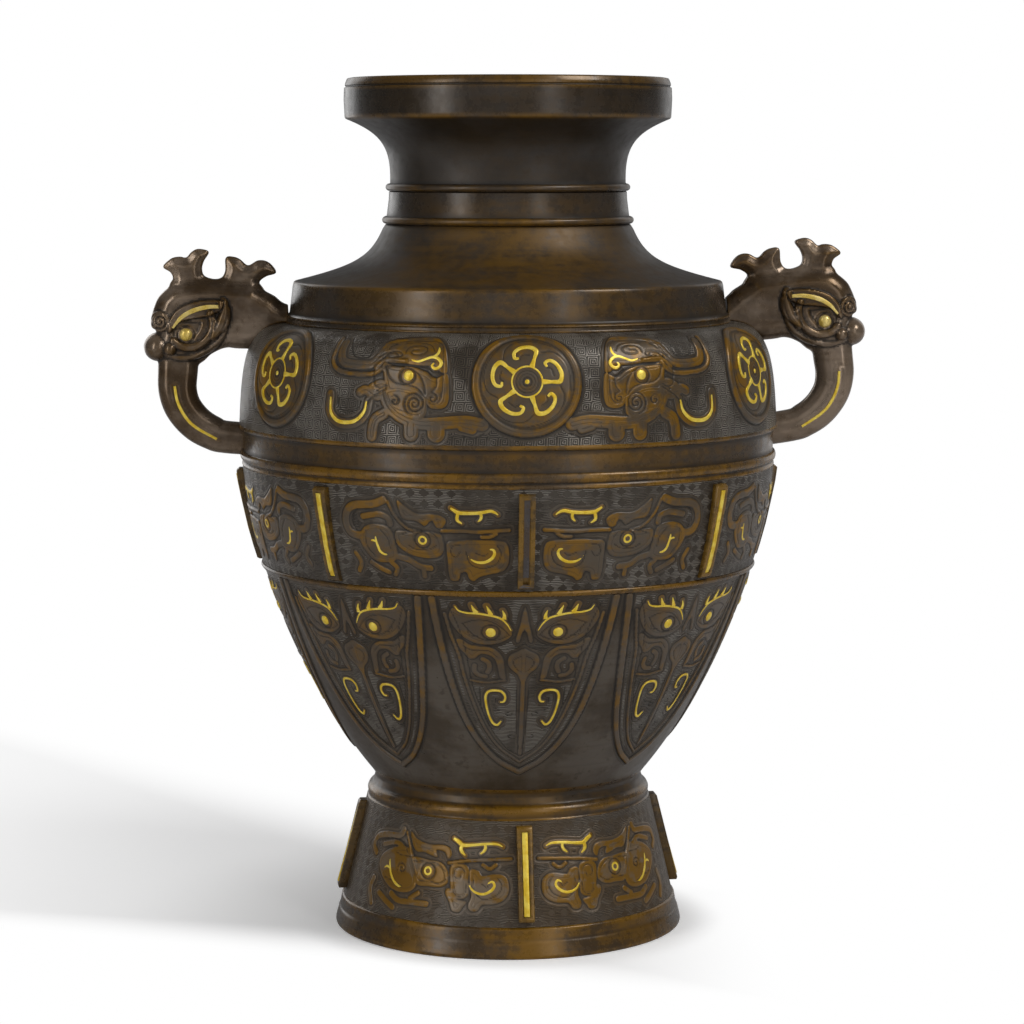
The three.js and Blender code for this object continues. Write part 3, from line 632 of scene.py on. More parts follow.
SHOULDER_BEAST = Ornament(
    strokes=(
        ridge(2.2, (-28.1, 19.2), (-28, 13.3), (-28.1, 7.9), (-24.7, 4), (-18.2, 2.5), (-6.5, 2.4),
              (-1.2, 4.8), (0.8, 8.1)),
        band(4, (-24.6, 16.9), (-24.3, 11.9), (-22.1, 7.7), (-16.7, 6.5), (-7.1, 6.9), (-3.3, 10.3),
             (-0.6, 14.9), (3.4, 18)),
        line(0.9, (-22, 20.3), (-19, 13.2), (-15.4, 9.8), (-9, 10.1), (-7.5, 13.6)),
        plate((-1.3, 17.8), (9, 20.9), (20.8, 22), (25.5, 19.2), (28.5, 13.5), (29.9, 4.2),
              (26.8, 4.2), (24.8, 6.8), (19.3, 6.7), (11.6, 7.4), (3.6, 9), (-0.6, 9.9), (-1.8, 13.8)),
        line(0.9, (9.6, 12.6), (10.6, 15.2), (15.5, 16.3), (19.6, 15), (19, 12.6), (14.9, 11.7),
             (12.2, 12.5), (13, 14), (15.8, 14)),
        line(0.8, (5, 18.1), (14.7, 18.9), (22.4, 18.9), (26, 17.2), (27.3, 13.4), (27.9, 6.8), (28.1, -2.7),
             (27.3, -8), (25, -9.8), (22.6, -9.4)),
        line(0.9, (-3.6, 10.1), (-0.2, 12.1), (4, 13.2), (7.2, 12.6), (8, 11.2), (4.8, 10.4), (2.2, 10.2)),
        line(0.8, (-1.2, 17.4), (4.4, 17), (1.6, 15.6), (1, 14.2)),
        line(0.8, (8.6, 17.4), (15, 17.8), (21, 16.6), (23.2, 13.6)),
        ridge(2.2, (-3.8, 5.2), (-0.3, 8.5), (4.6, 8.8), (10.4, 8.6)),
        line(0.9, (-1, 9.4), (1.4, 11.9), (4.8, 12.4), (6.7, 10.6)),
        plate((0, 7.1), (6, 6.4), (13.7, 6.1), (20.4, 4.1), (25.1, 1.5), (29.9, 3.3), (31.1, -4.4),
              (30.3, -10.1), (27.2, -11.9), (22.8, -11.5), (20.5, -9), (14.4, -6.5), (7.9, -5.4),
              (3, -5.1), (0.8, 0.1)),
        line(1, (1.1, 6.2), (7, 6.4), (12.8, 5.2), (17.3, 2.7), (19.8, -1.6), (20.4, -5.5)),
        line(1, (1.2, 5.8), (3.1, 1.4), (6.7, -1.1), (12.4, -1.8), (17.1, -3.4), (19.9, -6.4)),
        line(0.9, (20.8, 4.6), (23.4, 1.8), (25.2, 1.6), (25.4, -2.2), (23.6, -4.6)),
        mark(Form.COIL, (24, -7.4), 2.6),
        plate((1.4, -4.3), (9.2, -2.7), (17.6, -5.1), (20.4, -6.6), (21.1, -13.8), (17.6, -16.5),
              (10.9, -15.3), (4.8, -13), (2.2, -9), rise=0.5),
        mark(Form.SOCKET, (12, 2), 3.6),
        band(5.4, (1.1, -5.2), (3.2, -10.3), (7.1, -14.1), (12.8, -17), (20.2, -18.5), (29.9, -17.9),
             (38.6, -17.3), (45.6, -18.5)),
        mark(Form.COIL, (15.9, -9.9), 5.4),
        mark(Form.COIL, (6.5, -8.9), 2.7),
        band(6.8, (14.3, -19.5), (14.3, -23)),
        band(7.7, (25.6, -19.7), (25.6, -22.7)),
        band(4, (36.9, -19.5), (41.3, -20.7)),
        line(0.9, (37, -23.4), (42.2, -24.2), (46.4, -22.4)),
        band(4, (-4.9, -3.6), (-1.1, -1.8), (2.9, -2.5)),
        band(4, (-11, -5.6), (-8, -4.6), (-2.8, -7), (2.1, -6)),
        line(0.9, (-4.5, 3.4), (-4, -1.9), (-0.9, -3.5), (1.9, -2.1)),
        line(0.9, (-7.7, -11.6), (-5.7, -8.5), (-0.9, -5.2), (2, -3.4)),
        band(5, (1.4, -14.7), (-2.5, -17.1), (-3.9, -21), (-4.2, -24.5)),
        band(4.4, (-27, -7.4), (-27, -14.6), (-22.2, -19.2), (-13.6, -19.2), (-7.8, -15), (-6.2, -9.4),
             rise=0.24),
        line(0.7, (-22.9, -7), (-22.7, -11.4), (-19.3, -14.3), (-12.8, -13.5), (-9.8, -9.1)),
    ),
    wires=(
        Wire(((12.4, 9.4), (16.2, 8.6), (19.7, 9.8), (22.5, 10.7), (25, 10.2), (26.9, 8.2), (26.1, 6.2),
              (24.1, 5.6), (22.8, 6.9), (23.7, 8)), (0.8, 1.3, 1.4, 1.5, 1.7, 1.8, 1.6, 1.5, 1.3, 0.9)),
        Wire(((22.6, 10.6), (24.5, 11.8), (25.3, 13.6), (25, 16)), (1.3, 1.6, 1.4, 0.7)),
        Wire(((-26.6, -8.4), (-26, -15.2), (-21.4, -18.9), (-13.6, -18.6), (-8.6, -14.6), (-7.2, -9.6)),
             (0.9, 1.7, 2, 2, 1.7, 0.9)),
    ),
    studs=(Stud((12.4, 2.2), 2.3),),
)

BELLY_BEAST = Ornament(
    strokes=(
        band(3.6, (-15.6, 17.8), (-21.2, 15.7), (-30.6, 14.7), (-34.7, 11.7), (-35.9, 6.6), (-33.9, 2.1),
             (-29.1, 1), (-25.2, 2.7)),
        line(0.7, (-21.4, 13.4), (-29.7, 12.5), (-32.5, 7.7), (-30.4, 3.3)),
        band(2.7, (-26.4, 9.9), (-18.6, 11.3), (-13.8, 9.7), (-13.1, 7.1)),
        plate((-9, 18.1), (-4.9, 15.1), (0.4, 12.2), (6.7, 12.4), (10.7, 11.6), (12.8, 9.4), (10.9, 6.2),
              (8.2, 6.6), (7, 9.3), (5.2, 8.8), (3.3, 6.9), (-0.7, 9), (-6.2, 9.7), (-8.3, 13.2)),
        ridge(1.4, (-13.7, 17.4), (-11.2, 12.1), (-8.2, 8.2), (-4.2, 5.2), (0.8, 4)),
        mark(Form.SOCKET, (1.8, 0.4), 3.6),
        plate((-10.5, 4), (-3.4, 3.9), (6.3, 4.2), (10.2, 2.1), (11.3, -3), (9.2, -6.8), (4.5, -7.9),
              (-2, -7.2), (-7.1, -5.1), (-10.6, -1.6)),
        line(0.7, (-7.3, 2.8), (-2, 4.4), (5.4, 4.2), (8.8, 1.6)),
        line(0.7, (-4.9, -2.2), (-1.7, -3.9), (4.8, -3.7), (8.2, -1.7)),
        band(4, (8.8, 1.6), (8.5, -4)),
        ridge(1.8, (10.8, 4.8), (18.8, 5), (27.5, 4.7), (40, 5.7)),
        ridge(1.8, (28.3, 2.4), (31.8, 2.5), (34.4, 3.9)),
        plate((12.8, -0.6), (17.7, 0.4), (23.9, 1), (36.1, 0.7), (39.6, -1.6), (40, -9.1), (37.3, -13.3),
              (31.5, -14.8), (26.5, -16.3), (24.1, -18.2), (21.9, -16.8), (21.1, -14), (18.3, -14.5),
              (17.2, -17.9), (13.9, -18), (12.8, -14.7), (12.7, -8.5)),
        line(0.8, (21.1, -4.6), (23.1, -10.2), (28.9, -12), (34.7, -9.6), (36.5, -4.9), (34.8, -1.2)),
        line(0.7, (25.5, -5), (29, -6.3), (30.8, -4.9)),
        line(0.7, (18.5, -1.4), (15.4, -1.9), (14.3, -5.2), (16.5, -7), (18.4, -4.7)),
        plate((-26.4, 4.9), (-20.1, 6.7), (-13.3, 4.8), (-11.2, -2.5), (-11, -8.6), (-16.3, -10.8),
              (-22.4, -10.2), (-27, -5.8), (-29.3, -0.4)),
        line(0.7, (-18.3, 4.5), (-14.8, 0.5), (-13.9, -4.1)),
        line(0.7, (-25.6, 3.6), (-25.6, -3.4), (-22.1, -8.3)),
        band(2.7, (-10.8, -7.7), (-5.2, -9.2), (-0.6, -11.9), (4.5, -12.6)),
        band(2.2, (-14.2, -10.7), (-11.6, -13.4), (-13, -16.3)),
        band(2.2, (1.2, -12.7), (1.3, -16.5)),
        band(2.2, (-24.7, -11.3), (-19.9, -13.9), (-16, -15.5)),
        band(2.2, (-32.7, -7.2), (-30.3, -11.7), (-32.2, -15.7)),
    ),
    wires=(
        Wire(((15, 15.3), (16.7, 14.2), (18.4, 13.3), (22.5, 13.1), (27.7, 13.4), (31.9, 14.2),
              (33.9, 13.6), (35.4, 12.5)), (1, 1.6, 2, 1.6, 1.7, 1.6, 1.3, 0.5)),
        Wire(((18.4, 13.3), (17.8, 11.6), (17.9, 9.8), (19.8, 8.4)), (1.6, 1.7, 1.6, 0.6)),
        Wire(((27.8, 13.5), (28.2, 11.8), (27.8, 10.4), (26.7, 9.4)), (1.5, 1.5, 1.4, 0.6)),
        Wire(((22.1, -6.4), (23.6, -8.1), (26.2, -9.2), (29.4, -9.1), (32.3, -7.5), (33.7, -5.2),
              (33.2, -3.4), (31.4, -3.1)), (0.5, 1, 1.4, 1.6, 1.7, 1.6, 1.4, 0.8)),
        Wire(((-20.8, 2.2), (-20.7, -0.6), (-20.1, -3.3), (-19.3, -5.6), (-17.5, -6.9), (-14.7, -7.1)),
             (0.6, 1.3, 1.5, 1.5, 1.3, 0.6)),
        Wire(((-24.2, -1.1), (-22.3, -0.8), (-20.5, -1.4)), (0.6, 1.2, 1.2)),
        eye_ring((1.8, 0.4)),
    ),
)

FOOT_BEAST = Ornament(
    strokes=(
        band(2.7, (-6.4, 17.1), (-8.4, 14), (-18.2, 12.9), (-25.6, 10.7), (-27.5, 6), (-24.3, 3.3)),
        line(0.7, (-23.9, 9.1), (-13.7, 11.8), (-5.5, 11.2), (-1.9, 7)),
        band(2.2, (-19, 8.1), (-10.3, 10.5), (-4.9, 8.5), (-5, 6.1)),
        ridge(1.4, (-4.1, 16), (-0.5, 9.1), (2.4, 3.9), (5.3, -2.2)),
        plate((-1.6, 16.8), (2.9, 13.7), (10.2, 12.2), (17.9, 12.5), (21.7, 11), (22.5, 7.9), (20.6, 6.3),
              (18.8, 9.4), (14.4, 9.9), (15.4, 6.8), (11.5, 7.3), (8, 8.3), (3.4, 8.2), (0.1, 11.9)),
        plate((1.5, 5.2), (11.3, 5), (17.8, 4.3), (21.3, 0.5), (21.7, -4.1), (18.5, -6.6), (12, -6.9),
              (6, -6.7), (2.8, -1.6)),
        mark(Form.SOCKET, (11.1, 0), 3.6),
        line(0.7, (3, 3.5), (10.3, 4.4), (15.8, 3.6), (20.3, 0.4)),
        line(0.7, (6.8, -4.8), (12.7, -4.5), (16.9, -5.4), (20.6, -3.2)),
        band(2.7, (18.8, 0.2), (20.2, -3.3)),
        ridge(1.6, (21.3, 4.6), (29.6, 6.1), (40.1, 7), (50.9, 7.6)),
        ridge(1.8, (37.8, 4.6), (41.1, 2.9), (43.9, 4.8)),
        plate((22.5, 3.3), (27.8, 4.6), (31.3, 2.5), (31.3, -4.3), (31.6, -9.3), (28.5, -11.3),
              (24.7, -10.2), (22.7, -4)),
        line(0.7, (29.5, 1.1), (27.4, 3.2), (24.6, 1.6), (24.9, -1.5), (27.3, -2.3), (28.1, 0.1)),
        line(0.7, (24.8, -5.6), (25, -8.8), (28, -10.4), (30.6, -8), (30.3, -4.3)),
        plate((31.8, 2.1), (36.1, 1.8), (37.6, -0.4), (44.9, 0.7), (49, -1.5), (49.9, -6.5), (48.1, -10.6),
              (43.8, -12.9), (38.1, -13.5), (36, -16.3), (32.9, -16.4), (31.8, -13.8), (33, -10.1),
              (32.2, -4.2)),
        line(0.8, (33.9, -2.3), (33.7, -6.4), (38, -10.8), (44.1, -9.2), (46.8, -4.7), (44.5, -1.1)),
        line(0.7, (37.7, -4), (40, -5.7), (40.9, -3.9)),
        plate((22.5, -6.7), (26.7, -11.4), (30.9, -12.5), (29.2, -15.3), (28, -17.2), (24.8, -17),
              (23, -13.1), (20.7, -8.7)),
        plate((-18.3, 3.9), (-10.4, 8.1), (-1.1, 9), (2, 2.9), (5.7, -4.9), (3.8, -9.8), (-1.7, -11.5),
              (-9.6, -10.5), (-16.7, -5.7), (-20.1, -0.6)),
        mark(Form.COIL, (-4, -0.8), 3.2),
        line(0.7, (-8.6, 6), (-4.6, 5), (0.2, 5.4)),
        line(0.7, (-14.4, -6.2), (-8, -7.4), (-2.4, -8.8)),
        band(2.7, (-22.4, -8.2), (-23.8, -13.7), (-20.8, -19.7)),
        band(2.7, (-16.4, -14.1), (-10.5, -17.2), (-6.1, -19.2)),
        band(2.7, (-8.2, -13.1), (-3.3, -15.5), (4.7, -15.2), (12, -15.1)),
        band(2.2, (7.2, -10.7), (3.3, -13.5)),
    ),
    wires=(
        Wire(((23, 16), (25.4, 14.7), (27.9, 13.2), (33, 13.5), (37.9, 14.1), (42.7, 14.3), (44.9, 14),
              (46.9, 13.1)), (1.4, 2.2, 2, 1.5, 1.5, 1.4, 1.2, 0.5)),
        Wire(((27.8, 13.3), (26.9, 11.8), (27.4, 10.2), (29.2, 8.6)), (1.9, 1.9, 1.7, 0.6)),
        Wire(((38.5, 14), (38.8, 12.4), (38.1, 10.9), (36.5, 9.6)), (1.4, 1.5, 1.5, 0.8)),
        Wire(((32, -4.9), (33.5, -7), (35.9, -8.3), (39, -8.5), (42.1, -6.8), (43.4, -4.6), (42.4, -2.9),
              (40.2, -3.8)), (0.6, 1.1, 1.4, 1.5, 1.6, 1.5, 1.4, 0.7)),
        Wire(((-12.6, 3.1), (-11.8, -0.6), (-10.3, -4.1), (-7.6, -7.2), (-4.7, -8.9), (-2.1, -9.4)),
             (0.7, 1.4, 1.5, 1.5, 1.3, 0.5)),
        Wire(((-15.8, -2.8), (-13.8, -1.3), (-11, -1.9)), (0.7, 1.3, 1.3)),
        eye_ring((11.1, 0)),
    ),
)

BLADE_MASK = Ornament(
    strokes=(
        band(2.8, (-36, 43), (-34.9, 27.1), (-33.4, 11.8), (-31.3, -3), (-27.8, -19), (-21.9, -32.7),
             (-12.6, -44.1), (-0.1, -51.8), rise=0.8),
        ridge(1.4, (-31.4, 35.5), (-29.6, 24.7), (-27.2, 14.7), (-25.6, 2.6), (-22.8, -10.4), (-18.4, -24.4),
              (-11, -36.7), (0, -45.4)),
        line(0.7, (-30.2, 40.9), (-26.5, 29.9), (-24.2, 17.6), (-22.8, 1.6), (-20.8, -8.8), (-16.6, -21.5),
             (-13.1, -29), (-7.2, -37.3), (0, -41.7)),
        plate((-28.1, 38.4), (-24.3, 36.6), (-17.3, 35.8), (-11.2, 34.4), (-7.3, 30.9), (-5, 25.9),
              (-7.5, 22.8), (-12.4, 20.7), (-19, 21), (-24.6, 24.3), (-28.2, 29.4), (-29.8, 34.4), rise=0.26),
        line(0.7, (-25.6, 37.4), (-21, 36.9), (-15, 38.6), (-8.8, 36.2), (-4.8, 30.6)),
        line(0.8, (-24.6, 31), (-19.6, 32.8), (-14.2, 32.4), (-9.6, 29.6), (-6, 25.4)),
        line(0.8, (-24.6, 31), (-20.6, 25.6), (-15.8, 22.9), (-10.4, 23.1), (-6, 25.4)),
        line(0.6, (-22.4, 29.6), (-22.2, 25.4), (-18.6, 24.8)),
        line(0.7, (-26.6, 24.6), (-22, 20.4), (-13.8, 19.6), (-7.8, 20.8), (-3.9, 24.2)),
        mark(Form.SOCKET, (-13.5, 26.7), 3.6),
        plate((-27.6, 23), (-25.2, 22.7), (-22.2, 20.4), (-18.9, 19.9), (-13.8, 19), (-10.5, 16.5),
              (-8.6, 12.9), (-8.1, 7.4), (-7.7, 2.6), (-10, 3.2), (-10.8, 7.8), (-11.8, 12.4),
              (-14.1, 15), (-17.9, 15.7), (-20.7, 13.2), (-23, 13.2), (-24.8, 16.2), (-26.6, 18.4),
              rise=0.34),
        line(0.7, (-24.9, 19.6), (-21.4, 17.6), (-14.6, 17.4), (-11, 14)),
        band(2, (-20.9, 9.6), (-21.2, 6.9), (-19.4, 4.6), (-16.4, 3.9), rise=0.3),
        band(2, (-17.2, 13), (-14.9, 11.2), (-14.5, 8.4), (-15.4, 6.2), rise=0.3),
        ridge(1.2, (-23, 1.6), (-15.9, 0.7), (-7.9, 1.9)),
        plate((0.5, 39.4), (-0.7, 36.8), (-1.6, 31.2), (-3.4, 22.6), (-2.2, 21.8), (-0.9, 26.9), (0.5, 29.4)),
        plate((0.8, 17.2), (-2.7, 16.8), (-6, 14.6), (-6.6, 10.8), (-5, 7.6), (-2.4, 5), (-1, 1.4),
              (0.8, -0.4), rise=0.34),
        line(0.6, (-0.9, 14.6), (-3.8, 13), (-4.2, 10.4), (-2, 6.8)),
        band(1.8, (0, 1), (-0.1, -20.3), (-0.1, -40.4), rise=0.34),
        line(0.6, (-2.4, 1.8), (-2.6, -12), (-2, -28), (-1, -37)),
        line(0.7, (-0.3, 21), (-2.6, 18.9), (-7.1, 18.2)),
        line(0.6, (-19.4, -2.2), (-19.2, -12.5), (-16.6, -22.6), (-12.4, -26.2), (-8, -23.4)),
        line(0.6, (-12.3, -7.9), (-12.6, -13.5), (-9.9, -15.1)),
        mark(Form.COIL, (-6.4, -16.4), 2.1, 0.25),
        mark(Form.COIL, (-5.4, -29.4), 1.8, 0.25),
    ),
    wires=(
        Wire(((-27.1, 39.5), (-25.7, 37.4), (-22.7, 36.4), (-18.1, 36.1), (-13.5, 35.2), (-9.6, 33.8),
              (-7.1, 31.1), (-5.4, 27.8)), (0.5, 0.8, 1, 1.1, 1.1, 1.1, 0.8, 0.4)),
        Wire(((-18.8, 36.4), (-19.8, 38.1), (-20.6, 40.3)), (2.6, 1.7, 0.4)),
        Wire(((-13.2, 35.5), (-13.9, 37.5), (-14.8, 39.9)), (2.6, 1.7, 0.4)),
        Wire(((-8.1, 33.5), (-8, 35.4), (-8.7, 37.7)), (2.4, 1.6, 0.4)),
        Wire(((-10.3, -9.9), (-8.6, -9.6), (-7.9, -6.9), (-9.3, -4.3), (-12.1, -3.5), (-15.4, -4.1),
              (-16.9, -6.9), (-16.8, -11.9), (-15.8, -17.5), (-14.1, -21.7), (-12, -22.8), (-10, -20.6)),
             (0.7, 1.1, 1.2, 1.3, 1.3, 1.3, 1.2, 1.1, 1.1, 1.3, 1.4, 0.7)),
    ),
    studs=(Stud((-13.5, 26.7), 2.25),),
)


@dataclass(frozen=True)
class Medallion:
    """The round whorl boss of the shoulder.

    Attributes:
        radius: Outer radius of the rim.
        field_rise: Height of the flat field.
        rim_rise: Height of the rounded rim.
        hub: Radius of the gold ring at the middle.
        arms: Number of curled arms.
        arm: Centre line of the first arm's gold.
        arm_widths: Width of that gold, from the hub outwards.
        comma: The line cut behind each arm.
        inner_comma: The short line cut inside each arm's curl.
    """

    radius: float = 24.0
    field_rise: float = 0.9
    rim_rise: float = 1.25
    hub: float = 6.6
    arms: int = 5
    arm: tuple[Point, ...] = ((6.4, -0.1), (10.5, -0.1), (14.2, 0.1), (15, 3.4), (13.2, 7.2), (10.3, 9.1),
                              (8, 8.1), (8.7, 6.4))
    arm_widths: tuple[float, ...] = (3.0, 1.7, 2.5, 2.2, 2.0, 1.8, 1.7, 1.2)
    comma: tuple[Point, ...] = ((18.6, -6.4), (18.9, 1.5), (16.8, 8.6), (11.6, 13.2), (6.2, 13.0))
    inner_comma: tuple[Point, ...] = ((11.6, 2.6), (10.6, 5.6), (8.4, 6.0))

    def turned(self, path: Sequence[Point], turn: int) -> tuple[Point, ...]:
        """Turns a path about the centre.

        Args:
            path: The path.
            turn: By how many arms it is turned.

        Returns:
            The turned path.
        """
        angle = 2 * math.pi * turn / self.arms
        c, s = math.cos(angle), math.sin(angle)
        return tuple((x * c - y * s, x * s + y * c) for x, y in path)

    def ornament(self) -> Ornament:
        """The gold whorl and the lines cut round it.

        Returns:
            The whorl.
        """
        strokes = [mark(Form.SOCKET, (0, 0), r, d) for r, d in ((1.9, 0.3), (3.4, 0.22), (4.8, 0.22))]
        strokes += [mark(Form.SOCKET, (0, 0), 19.6, 0.2)]
        wires = [Wire(circle((0, 0), self.hub, 20), (0.9,), closed=True)]
        for k in range(self.arms):
            wires.append(Wire(self.turned(self.arm, k), self.arm_widths))
            strokes.append(line(0.8, *self.turned(self.comma, k)))
            strokes.append(line(0.7, *self.turned(self.inner_comma, k)))
        return Ornament(tuple(strokes), tuple(wires), (Stud((0, 0), 1.0),), 0.0)

    def carve(self, across: Array, up: Array) -> Relief:
        """Builds the boss over flat points.

        Args:
            across: Distances across of the points.
            up: Distances up of the points.

        Returns:
            The relief.
        """
        far = np.hypot(across, up)
        inner, low = self.radius - 3.6, self.field_rise
        section = ((0, low), (inner - 0.8, low), (inner - 0.2, low - 0.3), (inner + 0.3, low - 0.25),
                   (inner + 0.8, self.rim_rise - 0.1), (inner + 1.9, self.rim_rise),
                   (inner + 3.0, self.rim_rise - 0.15), (inner + 3.5, 0.6), (inner + 3.8, 0.0))
        relief = self.ornament().carve(across, up)
        relief.raised = np.interp(far, *zip(*section))
        relief.grooves *= far < inner
        return relief


MEDALLION = Medallion()


class Wiring:
    """Adds nodes to a tree and joins them."""

    def __init__(self, tree: bpy.types.NodeTree) -> None:
        """Takes an empty tree."""
        self.tree = tree

    def node(self, kind: str, inputs: Optional[dict] = None, **settings: object) -> bpy.types.Node:
        """Adds a node.

        Args:
            kind: Its type name.
            inputs: What each input is set to or joined to, by name or place.
            **settings: Its own options.

        Returns:
            The node.
        """
        node = self.tree.nodes.new(kind)
        for key, value in settings.items():
            setattr(node, key, value)
        for key, value in (inputs or {}).items():
            if isinstance(value, bpy.types.NodeSocket):
                self.tree.links.new(value, node.inputs[key])
            else:
                node.inputs[key].default_value = value
        return node

    def out(self, kind: str, inputs: Optional[dict] = None, **settings: object) -> bpy.types.NodeSocket:
        """The first output of a new node."""
        return self.node(kind, inputs, **settings).outputs[0]

    def math(self, operation: str, *values: object, clamp: bool = False) -> bpy.types.NodeSocket:
        """The result of a sum on single numbers."""
        inputs = dict(enumerate(values))
        return self.out("ShaderNodeMath", inputs, operation=operation, use_clamp=clamp)

    def plus(self, first: object, second: object, clamp: bool = False) -> bpy.types.NodeSocket:
        """The sum of two numbers."""
        return self.math("ADD", first, second, clamp=clamp)

    def times(self, first: object, second: object, clamp: bool = False) -> bpy.types.NodeSocket:
        """The product of two numbers."""
        return self.math("MULTIPLY", first, second, clamp=clamp)

    def spread(self, value: object, low: float, high: float, to: Point = (0.0, 1.0)) -> bpy.types.NodeSocket:
        """A value moved smoothly from one span to another, and kept inside it."""
        inputs = {0: value, 1: low, 2: high, 3: to[0], 4: to[1]}
        return self.out("ShaderNodeMapRange", inputs, interpolation_type="SMOOTHSTEP")

    def blend(self, share: object, first: object, second: object) -> bpy.types.NodeSocket:
        """One colour faded into another.

        Args:
            share: Share of the second colour.
            first: The first colour.
            second: The second colour.

        Returns:
            The mixed colour.
        """
        fixed = [v if isinstance(v, bpy.types.NodeSocket) else (*v, 1.0) for v in (first, second)]
        inputs = {0: share, 6: fixed[0], 7: fixed[1]}
        return self.node("ShaderNodeMix", inputs, data_type="RGBA").outputs[2]

    def noise(self, place: object, scale: float, detail: float = 3.0, rough: float = 0.55) -> object:
        """A cloudy pattern."""
        inputs = {"Vector": place, "Scale": scale, "Detail": detail, "Roughness": rough}
        return self.out("ShaderNodeTexNoise", inputs)

    def metal(self, colour: object, metallic: float, rough: object, height: object) -> None:
        """Ends a material in a metal.

        Args:
            colour: Its colour.
            metallic: Its metallic share.
            rough: Its roughness.
            height: Its fine relief, in millimetres.
        """
        bump = self.out("ShaderNodeBump", {"Strength": 1.0, "Distance": MM, "Height": height})
        inputs = {"Base Color": colour, "Metallic": metallic, "Roughness": rough, "Normal": bump}
        self.node("ShaderNodeOutputMaterial", {0: self.out("ShaderNodeBsdfPrincipled", inputs)})

    def attribute(self, name: str, output: str = "Fac") -> bpy.types.NodeSocket:
        """A value stored on the mesh."""
        return self.node("ShaderNodeAttribute", attribute_name=name).outputs[output]


def blank(owner: bpy.types.ID) -> Wiring:
    """Empties the node tree of a material or a world.

    Args:
        owner: The material or world.

    Returns:
        The wiring of its tree.
    """
    owner.use_nodes = True
    owner.node_tree.nodes.clear()
    return Wiring(owner.node_tree)


def set_out(name: str, data: bpy.types.ID) -> bpy.types.Object:
    """Puts an object in the scene.

    Args:
        name: Name of the object.
        data: Its mesh, light or camera.

    Returns:
        The object.
    """
    obj = bpy.data.objects.new(name, data)
    bpy.context.scene.collection.objects.link(obj)
    return obj


class Ground(Enum):
    """The fine pattern cast between the raised parts."""

    NONE = "smooth"
    KEY_FRET = "square spirals"
    LOZENGE = "nested lozenges crossed by lines"
    LINES = "level lines"


def srgb(red: int, green: int, blue: int) -> Colour:
    """A linear colour from a screen colour of 0 to 255 a channel."""
    shares = (red / 255, green / 255, blue / 255)
    return tuple(((c + 0.055) / 1.055) ** 2.4 if c > 0.04 else c / 12.92 for c in shares)


